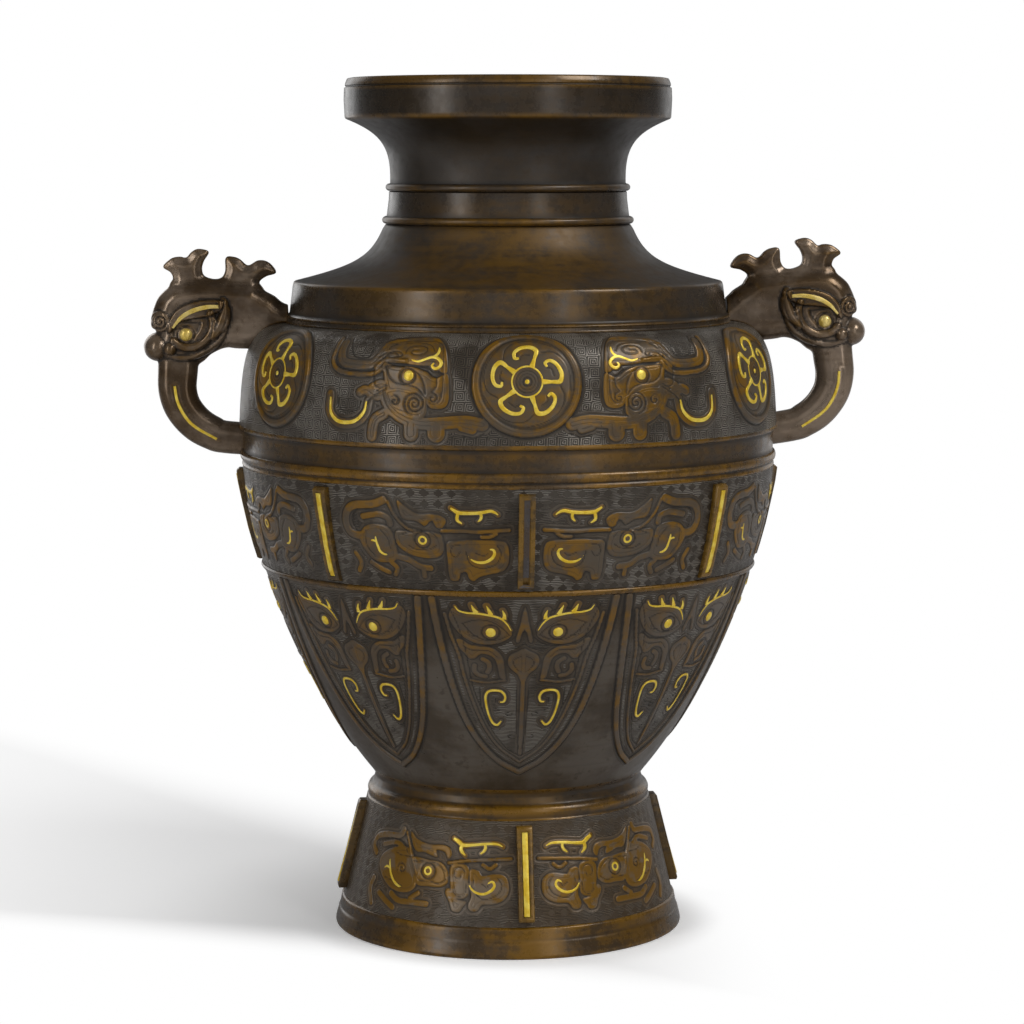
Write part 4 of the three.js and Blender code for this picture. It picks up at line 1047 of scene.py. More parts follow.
@dataclass(frozen=True)
class BronzeFinish:
    """A patinated bronze skin, rubbed through to ochre metal where hands and cloths reach.

    Attributes:
        name: Name of the finish.
        skin: Colour of the patina.
        pale: Colour of its lighter clouds.
        hollow: Colour that recesses, grooves, flecks and streaks are darkened towards.
        rub: Colour of the rubbed metal.
        painted_glint: Colour of the painted glint on the raised lines of the ground.
        plate: Colour towards which the raised plates are lightened: a lighter tone with a painted sheen.
        ground: Fine pattern of the sunk parts.
        rubbed: Share of the plain surface that is rubbed.
        plates: Share of the raised plates that is rubbed.
        edges: Share of the worn edges that is rubbed.
        roughness: Roughness of the skin.
        metallic: Metallic share of the skin.
    """

    name: str
    skin: Colour = srgb(34, 30, 25)
    pale: Colour = srgb(54, 48, 42)
    hollow: Colour = srgb(27, 24, 20)
    rub: Colour = srgb(124, 88, 12)
    painted_glint: Colour = srgb(146, 140, 130)
    plate: Colour = srgb(88, 76, 60)
    ground: Ground = Ground.NONE
    rubbed: float = 0.0
    plates: float = 0.7
    edges: float = 0.3
    roughness: float = 0.28
    metallic: float = 0.2

    def pattern(self, w: Wiring, place: object) -> tuple[bpy.types.NodeSocket, bpy.types.NodeSocket]:
        """The ground pattern, a little uneven as if cut by hand.

        Args:
            w: Where its nodes go.
            place: Where the noise is read.

        Returns:
            Its height from 0 in its grooves to 1, and 1 where it is smooth and dark.
        """
        sway = w.node("ShaderNodeTexNoise", {"Vector": place, "Scale": 130.0, "Detail": 2.0}).outputs["Color"]
        sway = w.out("ShaderNodeVectorMath", {0: sway, 1: (0.4, 0.4, 0.0)}, operation="MULTIPLY")
        chart = w.node("ShaderNodeVectorMath", {0: w.attribute("chart", "Vector"), 1: sway}, operation="ADD")
        split = w.node("ShaderNodeSeparateXYZ", {0: chart.outputs[0]})
        x, y = split.outputs[0], split.outputs[1]
        u = w.math("SUBTRACT", w.math("FRACT", x), 0.5)
        v = w.math("SUBTRACT", w.math("FRACT", y), 0.5)
        smooth_spot: object = 0.0
        if self.ground is Ground.KEY_FRET:
            far = w.math("MAXIMUM", w.math("ABSOLUTE", u), w.math("ABSOLUTE", v))
            turn = w.math("DIVIDE", w.math("ARCTAN2", v, u), 2 * math.pi)
            phase = w.math("SUBTRACT", w.times(far, 6.0), turn)
        elif self.ground is Ground.LOZENGE:
            far = w.plus(w.math("ABSOLUTE", u), w.math("ABSOLUTE", v))
            smooth_spot = w.spread(far, 0.36, 0.44, (1.0, 0.0))
            phase = w.times(y, 7.0)
        else:
            phase = w.times(y, 6.0)
        wave = w.math("COSINE", w.times(phase, 2 * math.pi))
        return w.spread(wave, -0.7, 0.7), smooth_spot

    def pulse(self, w: Wiring, value: object, centre: float, half: float) -> bpy.types.NodeSocket:
        """1 where a value is at a centre, falling to 0 at half a width from it."""
        away = w.math("ABSOLUTE", w.math("SUBTRACT", value, centre))
        return w.spread(away, 0.0, half, (1.0, 0.0))

    def build(self) -> bpy.types.Material:
        """Makes the material.

        Returns:
            The material.
        """
        material = bpy.data.materials.new(self.name)
        w = blank(material)
        place = w.node("ShaderNodeTexCoord").outputs["Object"]
        cloud = w.noise(place, 24.0, 5.0, 0.62)
        fleck = w.noise(place, 210.0, 4.0, 0.65)
        grain = w.noise(place, 1700.0, 2.0, 0.5)
        stretched = w.node("ShaderNodeVectorMath", {0: place, 1: (30.0, 30.0, 420.0)}, operation="MULTIPLY")
        streak = w.noise(stretched.outputs[0], 1.0, 3.0, 0.6)
        recess = w.attribute("recess")
        mixed = w.plus(w.times(cloud, 0.55), w.times(fleck, 0.25))
        patch = w.spread(w.plus(mixed, w.times(streak, 0.2)), 0.41, 0.59)
        colour = w.blend(w.spread(cloud, 0.4, 0.62), self.pale, self.skin)
        colour = w.blend(w.spread(streak, 0.5, 0.7, (0.0, 0.2)), colour, self.hollow)
        colour = w.blend(w.spread(fleck, 0.56, 0.7, (0.0, 0.45)), colour, self.hollow)
        # The stored rub share is rubbed metal; on the turned rings it also thins towards ±X as painted shade.
        rub = w.plus(w.attribute("rub"), self.rubbed)
        rub = w.plus(rub, w.times(w.attribute("worn"), self.edges))
        rub = w.times(rub, w.plus(w.times(patch, 0.88), 0.22), clamp=True)
        sunk = w.times(recess, 0.8)
        height = w.plus(w.times(grain, 0.01), w.times(fleck, 0.05))
        height = w.plus(height, w.times(streak, 0.02))
        if self.ground is not Ground.NONE:
            inside = w.attribute("inside")
            plateau = w.spread(inside, -0.15, 0.3)
            rim = w.times(plateau, w.spread(inside, 1.2, 2.8, (1.0, 0.0)))
            lines = w.math("MAXIMUM", self.pulse(w, inside, -0.35, 0.5),
                           w.times(self.pulse(w, inside, 1.9, 0.35), 0.5))
            echo = self.pulse(w, inside, -1.3, 0.4)
            clear = w.times(w.spread(inside, -1.9, -1.6, (1.0, 0.0)), w.attribute("open"))
            pattern, spot = self.pattern(w, place)
            bare = w.math("SUBTRACT", 1.0, spot, clamp=True)
            raised_lines = w.times(w.times(pattern, bare), clear)
            height = w.plus(height, w.times(raised_lines, 0.26))
            height = w.plus(height, w.times(echo, 0.1))
            height = w.math("SUBTRACT", height, w.times(lines, 0.12))
            groove = w.times(w.math("SUBTRACT", 1.0, pattern), w.times(clear, bare))
            spotted = w.times(w.times(spot, clear), 0.45)
            dark = w.math("MAXIMUM", w.times(groove, 0.75), spotted)
            dark = w.math("MAXIMUM", dark, w.times(lines, 0.6))
            sunk = w.math("MAXIMUM", sunk, dark)
            # Painted glint: the raised lines of the ground are lightened towards a pale grey in random
            # patches.
            glint_patches = w.spread(w.noise(place, 62.0, 3.0), 0.38, 0.6, (0.15, 1.05))
            painted_glint_share = w.times(raised_lines, glint_patches, clamp=True)
            colour = w.blend(painted_glint_share, colour, self.painted_glint)
            # The raised plates are lightened half way towards the plate colour: a lighter tone and a painted
            # sheen on their smooth tops.
            colour = w.blend(w.times(plateau, 0.5), colour, self.plate)
            on_plate = w.times(w.plus(plateau, w.times(rim, 0.5)), self.plates)
            stain = w.spread(w.noise(place, 85.0, 3.0, 0.6), 0.4, 0.6, (0.1, 1.8))
            rub = w.plus(rub, w.times(w.times(on_plate, patch), stain), clamp=True)
        colour = w.blend(rub, colour, self.rub)
        colour = w.blend(sunk, colour, self.hollow)
        rough = w.plus(w.times(fleck, 0.3), self.roughness - 0.15)
        rough = w.plus(rough, w.times(w.attribute("matte"), 0.25))
        rough = w.plus(rough, w.times(sunk, 0.2), clamp=True)
        w.metal(colour, self.metallic, rough, height)
        return material


@dataclass(frozen=True)
class GoldFinish:
    """Worn gold.

    Attributes:
        name: Name of the finish.
        bright: Colour where it is polished.
        dull: Colour where it is handled.
        roughness: Roughness of the metal.
        metallic: Metallic share of the surface.
    """

    name: str
    bright: Colour = srgb(255, 226, 96)
    dull: Colour = srgb(234, 194, 44)
    roughness: float = 0.38
    metallic: float = 0.35

    def build(self) -> bpy.types.Material:
        """Makes the material.

        Returns:
            The material.
        """
        material = bpy.data.materials.new(self.name)
        w = blank(material)
        place = w.node("ShaderNodeTexCoord").outputs["Object"]
        cloud = w.noise(place, 260.0, 3.0)
        grain = w.noise(place, 1500.0, 2.0)
        colour = w.blend(w.spread(cloud, 0.35, 0.65), self.dull, self.bright)
        rough = w.plus(w.times(grain, 0.2), self.roughness - 0.1)
        height = w.times(grain, 0.03)
        w.metal(colour, self.metallic, rough, height)
        return material


class Palette:
    """The finishes of the vase, each made once."""

    def __init__(self) -> None:
        """Makes the materials."""
        cast = {"skin": srgb(52, 46, 38), "pale": srgb(90, 82, 72), "rubbed": 0.1, "roughness": 0.34,
                "metallic": 0.25}
        self.plain = BronzeFinish("plain_bronze").build()
        self.fret = BronzeFinish("fret_bronze", ground=Ground.KEY_FRET, plates=0.68, **cast).build()
        self.lozenge = BronzeFinish("lozenge_bronze", ground=Ground.LOZENGE, plates=0.68, **cast).build()
        self.foot = BronzeFinish("foot_bronze", srgb(80, 70, 58), srgb(104, 94, 82), plate=srgb(140, 122, 98),
                                 painted_glint=srgb(126, 118, 106), ground=Ground.LOZENGE, plates=1.2, rubbed=0.25,
                                 roughness=0.36, metallic=0.25).build()
        self.lines = BronzeFinish("lined_bronze", ground=Ground.LINES, plates=0.26, edges=0.08,
                                  plate=srgb(98, 86, 72), **cast).build()
        self.edge = BronzeFinish("rubbed_bronze", rub=srgb(128, 95, 28), rubbed=0.9).build()
        self.side_edge = BronzeFinish("side_bar_bronze", rub=srgb(128, 95, 28), rubbed=0.4).build()
        self.slot = BronzeFinish("slot_bronze", srgb(72, 72, 76), srgb(88, 89, 94), rubbed=0.15).build()
        self.handle = BronzeFinish("handle_bronze", srgb(70, 58, 48), srgb(146, 129, 112), rubbed=0.15,
                                   roughness=0.24, metallic=0.55).build()
        self.gold = GoldFinish("inlaid_gold").build()
        self.pale_gold = GoldFinish("polished_gold", srgb(238, 212, 128), srgb(222, 190, 88), 0.3).build()


def new_object(
    name: str, points: Array, faces: list, values: Optional[dict[str, Array]] = None,
    material: Optional[bpy.types.Material] = None, sharp: float = 70.0,
) -> bpy.types.Object:
    """Makes an object of a mesh.

    Args:
        name: Name of the object.
        points: Its points.
        faces: Point numbers of its faces.
        values: Numbers kept on its points, by name.
        material: Its material.
        sharp: Angle in degrees past which an edge is crisp.

    Returns:
        The object.
    """
    mesh = bpy.data.meshes.new(name)
    mesh.from_pydata((np.asarray(points) * MM).tolist(), [], faces)
    for key, data in (values or {}).items():
        data = np.asarray(data, np.float32)
        kind, slot = ("FLOAT_VECTOR", "vector") if data.ndim > 1 else ("FLOAT", "value")
        mesh.attributes.new(key, kind, "POINT").data.foreach_set(slot, data.ravel())
    mesh.validate()
    if signed_volume(mesh) < 0:
        mesh.flip_normals()
    mesh.shade_smooth()
    mesh.set_sharp_from_angle(angle=math.radians(sharp))
    if material:
        mesh.materials.append(material)
    return set_out(name, mesh)


def signed_volume(mesh: bpy.types.Mesh) -> float:
    """Volume of a closed mesh, below zero where its faces point inwards.

    Args:
        mesh: The mesh.

    Returns:
        The volume.
    """
    mesh.calc_loop_triangles()
    corners = np.empty(len(mesh.loop_triangles) * 3, np.int32)
    mesh.loop_triangles.foreach_get("vertices", corners)
    points = np.empty(len(mesh.vertices) * 3, np.float32)
    mesh.vertices.foreach_get("co", points)
    a, b, c = np.moveaxis(points.reshape(-1, 3)[corners.reshape(-1, 3)].astype(float), 1, 0)
    return float(np.einsum("ij,ij->i", a, np.cross(b, c)).sum() / 6)


class NodeTool:
    """A Geometry Nodes tree that turns a sketch mesh into a finished one."""

    def __init__(self, name: str, sizes: dict[str, type]) -> None:
        """Starts a tree with named inputs.

        Args:
            name: Name of the tree.
            sizes: Kind of each named size, which the tree takes beside its geometry and material.
        """
        self.tree = bpy.data.node_groups.new(name, "GeometryNodeTree")
        kinds = {int: "NodeSocketInt", float: "NodeSocketFloat"}
        face = self.tree.interface
        face.new_socket("Geometry", in_out="INPUT", socket_type="NodeSocketGeometry")
        self.sockets = {key: face.new_socket(key, in_out="INPUT", socket_type=kinds[kind])
                        for key, kind in sizes.items()}
        dressing = face.new_socket("Material", in_out="INPUT", socket_type="NodeSocketMaterial")
        self.sockets["Material"] = dressing
        face.new_socket("Geometry", in_out="OUTPUT", socket_type="NodeSocketGeometry")
        self.w = Wiring(self.tree)
        self.source = self.w.node("NodeGroupInput").outputs

    def close(self, geometry: bpy.types.NodeSocket) -> None:
        """Repeats the geometry round the axis, makes it real and dresses it.

        Args:
            geometry: The geometry to be repeated.
        """
        w = self.w
        row = w.node("GeometryNodeMeshLine", {"Count": self.source["Copies"], "Offset": (0.0, 0.0, 0.0)})
        index = w.out("GeometryNodeInputIndex")
        turn = w.times(index, self.source["Step"])
        spin = w.out("ShaderNodeCombineXYZ", {2: turn})
        placed = {"Points": row.outputs[0], "Instance": geometry, "Rotation": spin}
        ring = w.out("GeometryNodeInstanceOnPoints", placed)
        real = w.out("GeometryNodeRealizeInstances", {0: ring})
        dressed = w.node("GeometryNodeSetMaterial", {"Geometry": real, "Material": self.source["Material"]})
        w.node("NodeGroupOutput", {0: dressed.outputs[0]})

    def apply(self, obj: bpy.types.Object, material: bpy.types.Material, **sizes: float) -> bpy.types.Object:
        """Runs the tree on an object and keeps the result as a plain mesh.

        Args:
            obj: The object.
            material: What the result is dressed in.
            **sizes: The named sizes.

        Returns:
            The object.
        """
        modifier = obj.modifiers.new("shape", "NODES")
        modifier.node_group = self.tree
        for key, value in {**sizes, "Material": material}.items():
            modifier[self.sockets[key].identifier] = value
        result = bpy.data.meshes.new_from_object(obj.evaluated_get(bpy.context.evaluated_depsgraph_get()))
        sketch = obj.data
        obj.modifiers.remove(modifier)
        obj.data = result
        bpy.data.meshes.remove(sketch)
        result.name = obj.name
        return obj


class RingTool(NodeTool):
    """Repeats a mesh round the axis."""

    def __init__(self) -> None:
        """Builds the tree."""
        super().__init__("ring_of_copies", {"Copies": int, "Step": float})
        self.close(self.source["Geometry"])


class GoldTool(NodeTool):
    """Lays gold wires along the edges of a sketch and discs at its loose points."""

    def __init__(self) -> None:
        """Builds the tree."""
        super().__init__("gold_work", {"Copies": int, "Step": float, "Flat": float})
        w, source = self.w, self.source
        out = w.out("GeometryNodeInputNamedAttribute", {"Name": "out"}, data_type="FLOAT_VECTOR")
        half = w.out("GeometryNodeInputNamedAttribute", {"Name": "half_width"}, data_type="FLOAT")
        disc = w.out("GeometryNodeInputNamedAttribute", {"Name": "disc"}, data_type="FLOAT")
        curve = w.out("GeometryNodeMeshToCurve", {0: source["Geometry"]})
        faced = w.out("GeometryNodeSetCurveNormal", {"Curve": curve, "Normal": out}, mode="FREE")
        square = w.out("GeometryNodeCurvePrimitiveQuadrilateral", {"Width": 2.0, "Height": 2.0})
        corners = {"Curve": square, "Radius": 0.5, "Count": 2}
        loop = w.out("GeometryNodeFilletCurve", corners, mode="POLY")
        squash = w.out("ShaderNodeCombineXYZ", {0: source["Flat"], 1: 1.0, 2: 1.0})
        section = w.out("GeometryNodeTransform", {"Geometry": loop, "Scale": squash})
        swept = {"Curve": faced, "Profile Curve": section, "Scale": half, "Fill Caps": True}
        wires = w.out("GeometryNodeCurveToMesh", swept)
        ball = w.out("GeometryNodeMeshUVSphere", {"Segments": 28, "Rings": 14, "Radius": 1.0})
        dome = w.node("ShaderNodeCombineXYZ", {0: disc, 1: disc, 2: w.times(disc, source["Flat"])})
        aim = w.out("FunctionNodeAlignRotationToVector", {"Vector": out}, axis="Z")
        chosen = w.node("FunctionNodeCompare", {0: disc, 1: 0.0}, data_type="FLOAT", operation="GREATER_THAN")
        discs = w.node("GeometryNodeInstanceOnPoints", {
            "Points": source["Geometry"], "Selection": chosen.outputs[0], "Instance": ball,
            "Rotation": aim, "Scale": dome.outputs[0],
        }).outputs[0]
        both = w.node("GeometryNodeJoinGeometry", {0: wires})
        self.tree.links.new(discs, both.inputs[0])
        smooth = w.node("GeometryNodeSetShadeSmooth", {"Geometry": both.outputs[0]})
        self.close(smooth.outputs[0])


class Goldsmith:
    """Makes the gold of the ornaments.

    Attributes:
        SHOWING: Share of a wire's width that the bronze leaves bare.
    """

    SHOWING = 0.84

    def __init__(self, finish: bpy.types.Material) -> None:
        """Takes the usual finish."""
        self.finish = finish
        self.tool = GoldTool()

    def lay(
        self, name: str, ornament: Ornament, charts: Sequence[object], copies: int = 1,
        proud: float = 0.06, flat: float = 0.3, finish: Optional[bpy.types.Material] = None,
    ) -> bpy.types.Object:
        """Lays an ornament's gold on each chart.

        Args:
            name: Name of the piece.
            ornament: The ornament.
            charts: Where it is laid.
            copies: How often the whole is repeated round the axis.
            proud: Height of the wires' centre lines over the bronze.
            flat: Thickness of the gold as a share of its width.
            finish: A finish other than the usual one.

        Returns:
            The piece.
        """
        points, edges, half, disc, out = [], [], [], [], []
        for chart in charts:
            for wire in ornament.wires:
                line_up = spline(wire.path, 0.5 * COARSE, wire.closed)
                if wire.closed:
                    line_up = line_up[:-1]
                stations = np.arange(len(wire.widths))
                share = line_up[:, 2] * (len(wire.widths) - 1) / max(line_up[-1, 2], 1e-6)
                width = np.interp(share, stations, wire.widths)
                place, facing = chart.place(line_up[:, 0], line_up[:, 1], ornament.bed + proud)
                first, count = sum(map(len, points)), len(line_up)
                edges += [(first + k, first + k + 1) for k in range(count - 1)]
                edges += [(first + count - 1, first)] if wire.closed else []
                points.append(place)
                out.append(facing)
                half.append(width * self.SHOWING / 2)
                disc.append(np.zeros(count))
            for stud in ornament.studs:
                x, y = np.array(stud.centre)[:, None]
                place, facing = chart.place(x, y, ornament.bed)
                points.append(place)
                out.append(facing)
                half.append(np.zeros(1))
                disc.append(np.array([stud.radius]))
        mesh = bpy.data.meshes.new(name)
        mesh.from_pydata((np.vstack(points) * MM).tolist(), edges, [])
        for key, data in (("half_width", np.concatenate(half) * MM), ("disc", np.concatenate(disc) * MM)):
            mesh.attributes.new(key, "FLOAT", "POINT").data.foreach_set("value", data.astype(np.float32))
        mesh.attributes.new("out", "FLOAT_VECTOR", "POINT").data.foreach_set(
            "vector", np.vstack(out).astype(np.float32).ravel())
        obj = set_out(name, mesh)
        step = 2 * math.pi / copies
        self.tool.apply(obj, finish or self.finish, Copies=copies, Step=step, Flat=flat)
        if signed_volume(obj.data) < 0:
            obj.data.flip_normals()
        return obj


SHOULDER = TurnedSurface(
    bezier((104.0, COLLAR_JOINT_Z), ((123.2, 285.7), (124.9, 267.5)), (126.2, BAND_LOW_Z), 60))
BELLY = TurnedSurface(
    bezier((124.9, WAIST_JOINT_Z), ((122.6, 178.0), (96.4, 113.0)), (65.2, FOOT_JOINT_Z), 90))
FOOT = TurnedSurface([(67.2, FOOT_BAND_TOP_Z), (78.4, FOOT_BAND_LOW_Z)])


@dataclass(frozen=True)
class Panel:
    """A sector of a cast wall with its relief, as a closed slab.

    Attributes:
        name: Name of the piece.
        surface: The turned surface that it follows.
        start: Azimuth of its first edge, in degrees.
        sweep: Degrees that it covers.
        top_z: Height of its upper edge.
        low_z: Height of its lower edge.
        cell: Width and height of a cell of its ground pattern.
        spacing: Distance between the points of its relief.
        copies: How often it is repeated round the axis.
        back_rows: Rows of faces on its back.
        plain: Where it has no ground pattern, by azimuth and distance along the profile.
    """

    name: str
    surface: TurnedSurface
    start: float
    sweep: float
    top_z: float
    low_z: float
    cell: Point
    spacing: float = 0.5
    copies: int = 2
    back_rows: int = 7
    plain: Optional[Callable[[Array, Array], Array]] = None

    def grid(self, rows: int, columns: int) -> tuple[Array, Array]:
        """Lays a grid over the sector.

        Args:
            rows: Rows of its cells.
            columns: Columns of its cells.

        Returns:
            Azimuth and distance along the profile of each of its points.
        """
        azimuth = np.radians(self.start + self.sweep * np.arange(columns + 1) / columns)
        top, low = self.surface.arc_at(self.top_z), self.surface.arc_at(self.low_z)
        return np.meshgrid(azimuth, np.linspace(top, low, rows + 1))

    def build(self, carve: Callable[[Array, Array], Relief], finish: bpy.types.Material,
              ring: RingTool) -> bpy.types.Object:
        """Builds the slab and its copies.

        Args:
            carve: Gives the relief at azimuths and distances along the profile.
            finish: Its material.
            ring: The tool that repeats it.

        Returns:
            The piece.
        """
        top, low = self.surface.arc_at(self.top_z), self.surface.arc_at(self.low_z)
        girth = float(self.surface.radius_at((self.top_z + self.low_z) / 2))
        rows = int((low - top) / (self.spacing * COARSE))
        columns = int(math.radians(self.sweep) * girth / (self.spacing * COARSE))
        azimuth, arc = self.grid(rows, columns)
        relief = carve(azimuth, arc)
        height = relief.height
        front, _ = self.surface.place(azimuth, arc, height)
        back_azimuth, back_arc = self.grid(self.back_rows, columns)
        back, _ = self.surface.place(back_azimuth, back_arc, np.full(back_arc.shape, -WALL))
        wide, fine = box_blur(height, (5, 5)), box_blur(height, (2, 2))
        crest = 0.6 * (height - wide) + 0.9 * (height - fine)
        cells = round(math.radians(self.sweep) * girth / self.cell[0])
        across = (azimuth - math.radians(self.start)) / math.radians(self.sweep) * cells
        chart = np.stack([across, (low - arc) / self.cell[1], 0 * arc], axis=-1)
        values = {
            "recess": np.clip(ramp(-crest, 0.03, 0.4) + 0.8 * ramp(relief.grooves, 0.06, 0.3), 0, 1),
            "worn": ramp(crest, 0.05, 0.40),
            "inside": relief.inside,
            "open": 1.0 - self.plain(azimuth, arc) if self.plain else 1.0 + 0 * arc,
        }
        spare = len(back.reshape(-1, 3))
        values = {key: np.concatenate([v.ravel(), np.zeros(spare)]) for key, v in values.items()}
        values["chart"] = np.vstack([chart.reshape(-1, 3), np.zeros((spare, 3))])
        points = np.vstack([front.reshape(-1, 3), back.reshape(-1, 3)])
        slab = new_object(self.name, points, self.faces(rows, columns), values, finish)
        return ring.apply(slab, finish, Copies=self.copies, Step=2 * math.pi / self.copies)

    def faces(self, rows: int, columns: int) -> list[list[int]]:
        """Numbers the faces of the front, the back and the four sides.

        Args:
            rows: Rows of cells on the front.
            columns: Columns of cells.

        Returns:
            The point numbers of each face.
        """
        front = np.arange((rows + 1) * (columns + 1)).reshape(rows + 1, columns + 1)
        back = front.size + np.arange((self.back_rows + 1) * (columns + 1)).reshape(self.back_rows + 1, -1)
        quads = []
        for grid in (front, back[:, ::-1]):
            a, b, c, d = grid[:-1, :-1], grid[1:, :-1], grid[1:, 1:], grid[:-1, 1:]
            quads.append(np.stack([a, b, c, d], axis=-1).reshape(-1, 4))
        for near, far in ((front[0], back[0]), (back[-1], front[-1])):
            quads.append(np.stack([near[:-1], near[1:], far[1:], far[:-1]], axis=-1))
        out = np.vstack(quads).tolist()
        out.append(back[:, 0].tolist() + front[::-1, 0].tolist())
        out.append(front[:, -1].tolist() + back[::-1, -1].tolist())
        return out


def carve_all(charts: Sequence[Chart], ornament: Ornament, azimuth: Array, arc: Array,
              mirror_too: bool = False) -> Relief:
    """Joins the relief of an ornament laid in several places.

    Args:
        charts: The places.
        ornament: The ornament.
        azimuth: Azimuths of the points.
        arc: Distances along the profile of the points.
        mirror_too: Whether the motif is half of a symmetrical one.

    Returns:
        The whole relief.
    """
    whole = Relief(azimuth, arc)
    for chart in charts:
        part = ornament.carve(*chart.flatten(azimuth, arc), mirror_too)
        for layer in ("inside", "raised", "ribs", "grooves"):
            setattr(whole, layer, np.maximum(getattr(whole, layer), getattr(part, layer)))
    return whole


def folded(azimuth: Array, times: int) -> Array:
    """Azimuths brought back to the part of a turn that is centred on the front."""
    half = math.pi / times
    return (azimuth + half) % (2 * half) - half


def in_slot(pieces: Sequence[bpy.types.Object]) -> list[bpy.types.Object]:
    """Gathers pieces into a list.

    Args:
        pieces: The pieces.

    Returns:
        The same pieces.
    """
    return list(pieces)


class Workshop:
    """The finishes and the tools that the sections share."""

    def __init__(self) -> None:
        """Makes them."""
        self.palette = Palette()
        self.smith, self.ring = Goldsmith(self.palette.gold), RingTool()


@dataclass(frozen=True)
class Shoulder:
    """The shoulder casting: six whorl bosses and four beast heads on a ground of square spirals.

    Attributes:
        first_edge: Azimuth of the first joint between its walls, in degrees.
        centre_z: Height of the middle of its bosses and beasts.
        cell: Width and height of a square spiral.
        spacing: Distance between the points of its relief.
    """

    first_edge: float = 13.4
    centre_z: float = 266.0
    cell: Point = (4.98, 4.98)
    spacing: float = 0.48

    @property
    def bosses(self) -> list[Chart]:
        """Where the bosses are."""
        return [Chart(SHOULDER, self.centre_z, 60.0 * k) for k in range(6)]

    @property
    def beasts(self) -> list[Chart]:
        """Where the beasts are, in mirrored pairs."""
        places = ((330, False), (30, True), (150, False), (210, True))
        return [Chart(SHOULDER, self.centre_z, degrees, flip) for degrees, flip in places]

    def carve(self, azimuth: Array, arc: Array) -> Relief:
        """Carves the beasts and sets the bosses over them.

        Args:
            azimuth: Azimuths of the points.
            arc: Distances along the profile of the points.

        Returns:
            The relief.
        """
        whole = carve_all(self.beasts, SHOULDER_BEAST, azimuth, arc)
        for chart in self.bosses:
            across, up = chart.flatten(azimuth, arc)
            over = np.hypot(across, up) < MEDALLION.radius + 0.3
            if over.any():
                boss = MEDALLION.carve(across, up)
                for layer in ("raised", "ribs", "grooves"):
                    setattr(whole, layer, np.where(over, getattr(boss, layer), getattr(whole, layer)))
            edge = MEDALLION.radius - np.hypot(across, up)
            whole.inside = np.where(over, edge, np.maximum(whole.inside, np.maximum(edge, -Relief.REACH)))
        return whole

    def build(self, shop: Workshop) -> list[bpy.types.Object]:
        """Builds the casting and its gold.

        Args:
            shop: The finishes and tools.

        Returns:
            The pieces.
        """
        walls = []
        for k in range(3):
            panel = Panel(f"shoulder_wall_{k + 1}", SHOULDER, self.first_edge + 60 * k, 60.0,
                          COLLAR_JOINT_Z, BAND_LOW_Z, self.cell, self.spacing)
            walls.append(panel.build(self.carve, shop.palette.fret, shop.ring))
        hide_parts("shoulder")
        plain = MEDALLION.ornament()
        lifted = Ornament((), plain.wires, plain.studs, MEDALLION.field_rise)
        whorl = shop.smith.lay("medallion_gold", lifted, self.bosses[:1], 6, proud=0.1, flat=0.4)
        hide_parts(*[f"medallion_{k}_gold_whorl" for k in range(1, 7)])
        beast = shop.smith.lay("shoulder_beast_gold", SHOULDER_BEAST, self.beasts)
        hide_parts(*[f"shoulder_beast_{k}_gold_{part}" for k in range(1, 5)
                             for part in ("eye", "brow", "horn")])
        return in_slot(walls) + in_slot([whorl, beast])


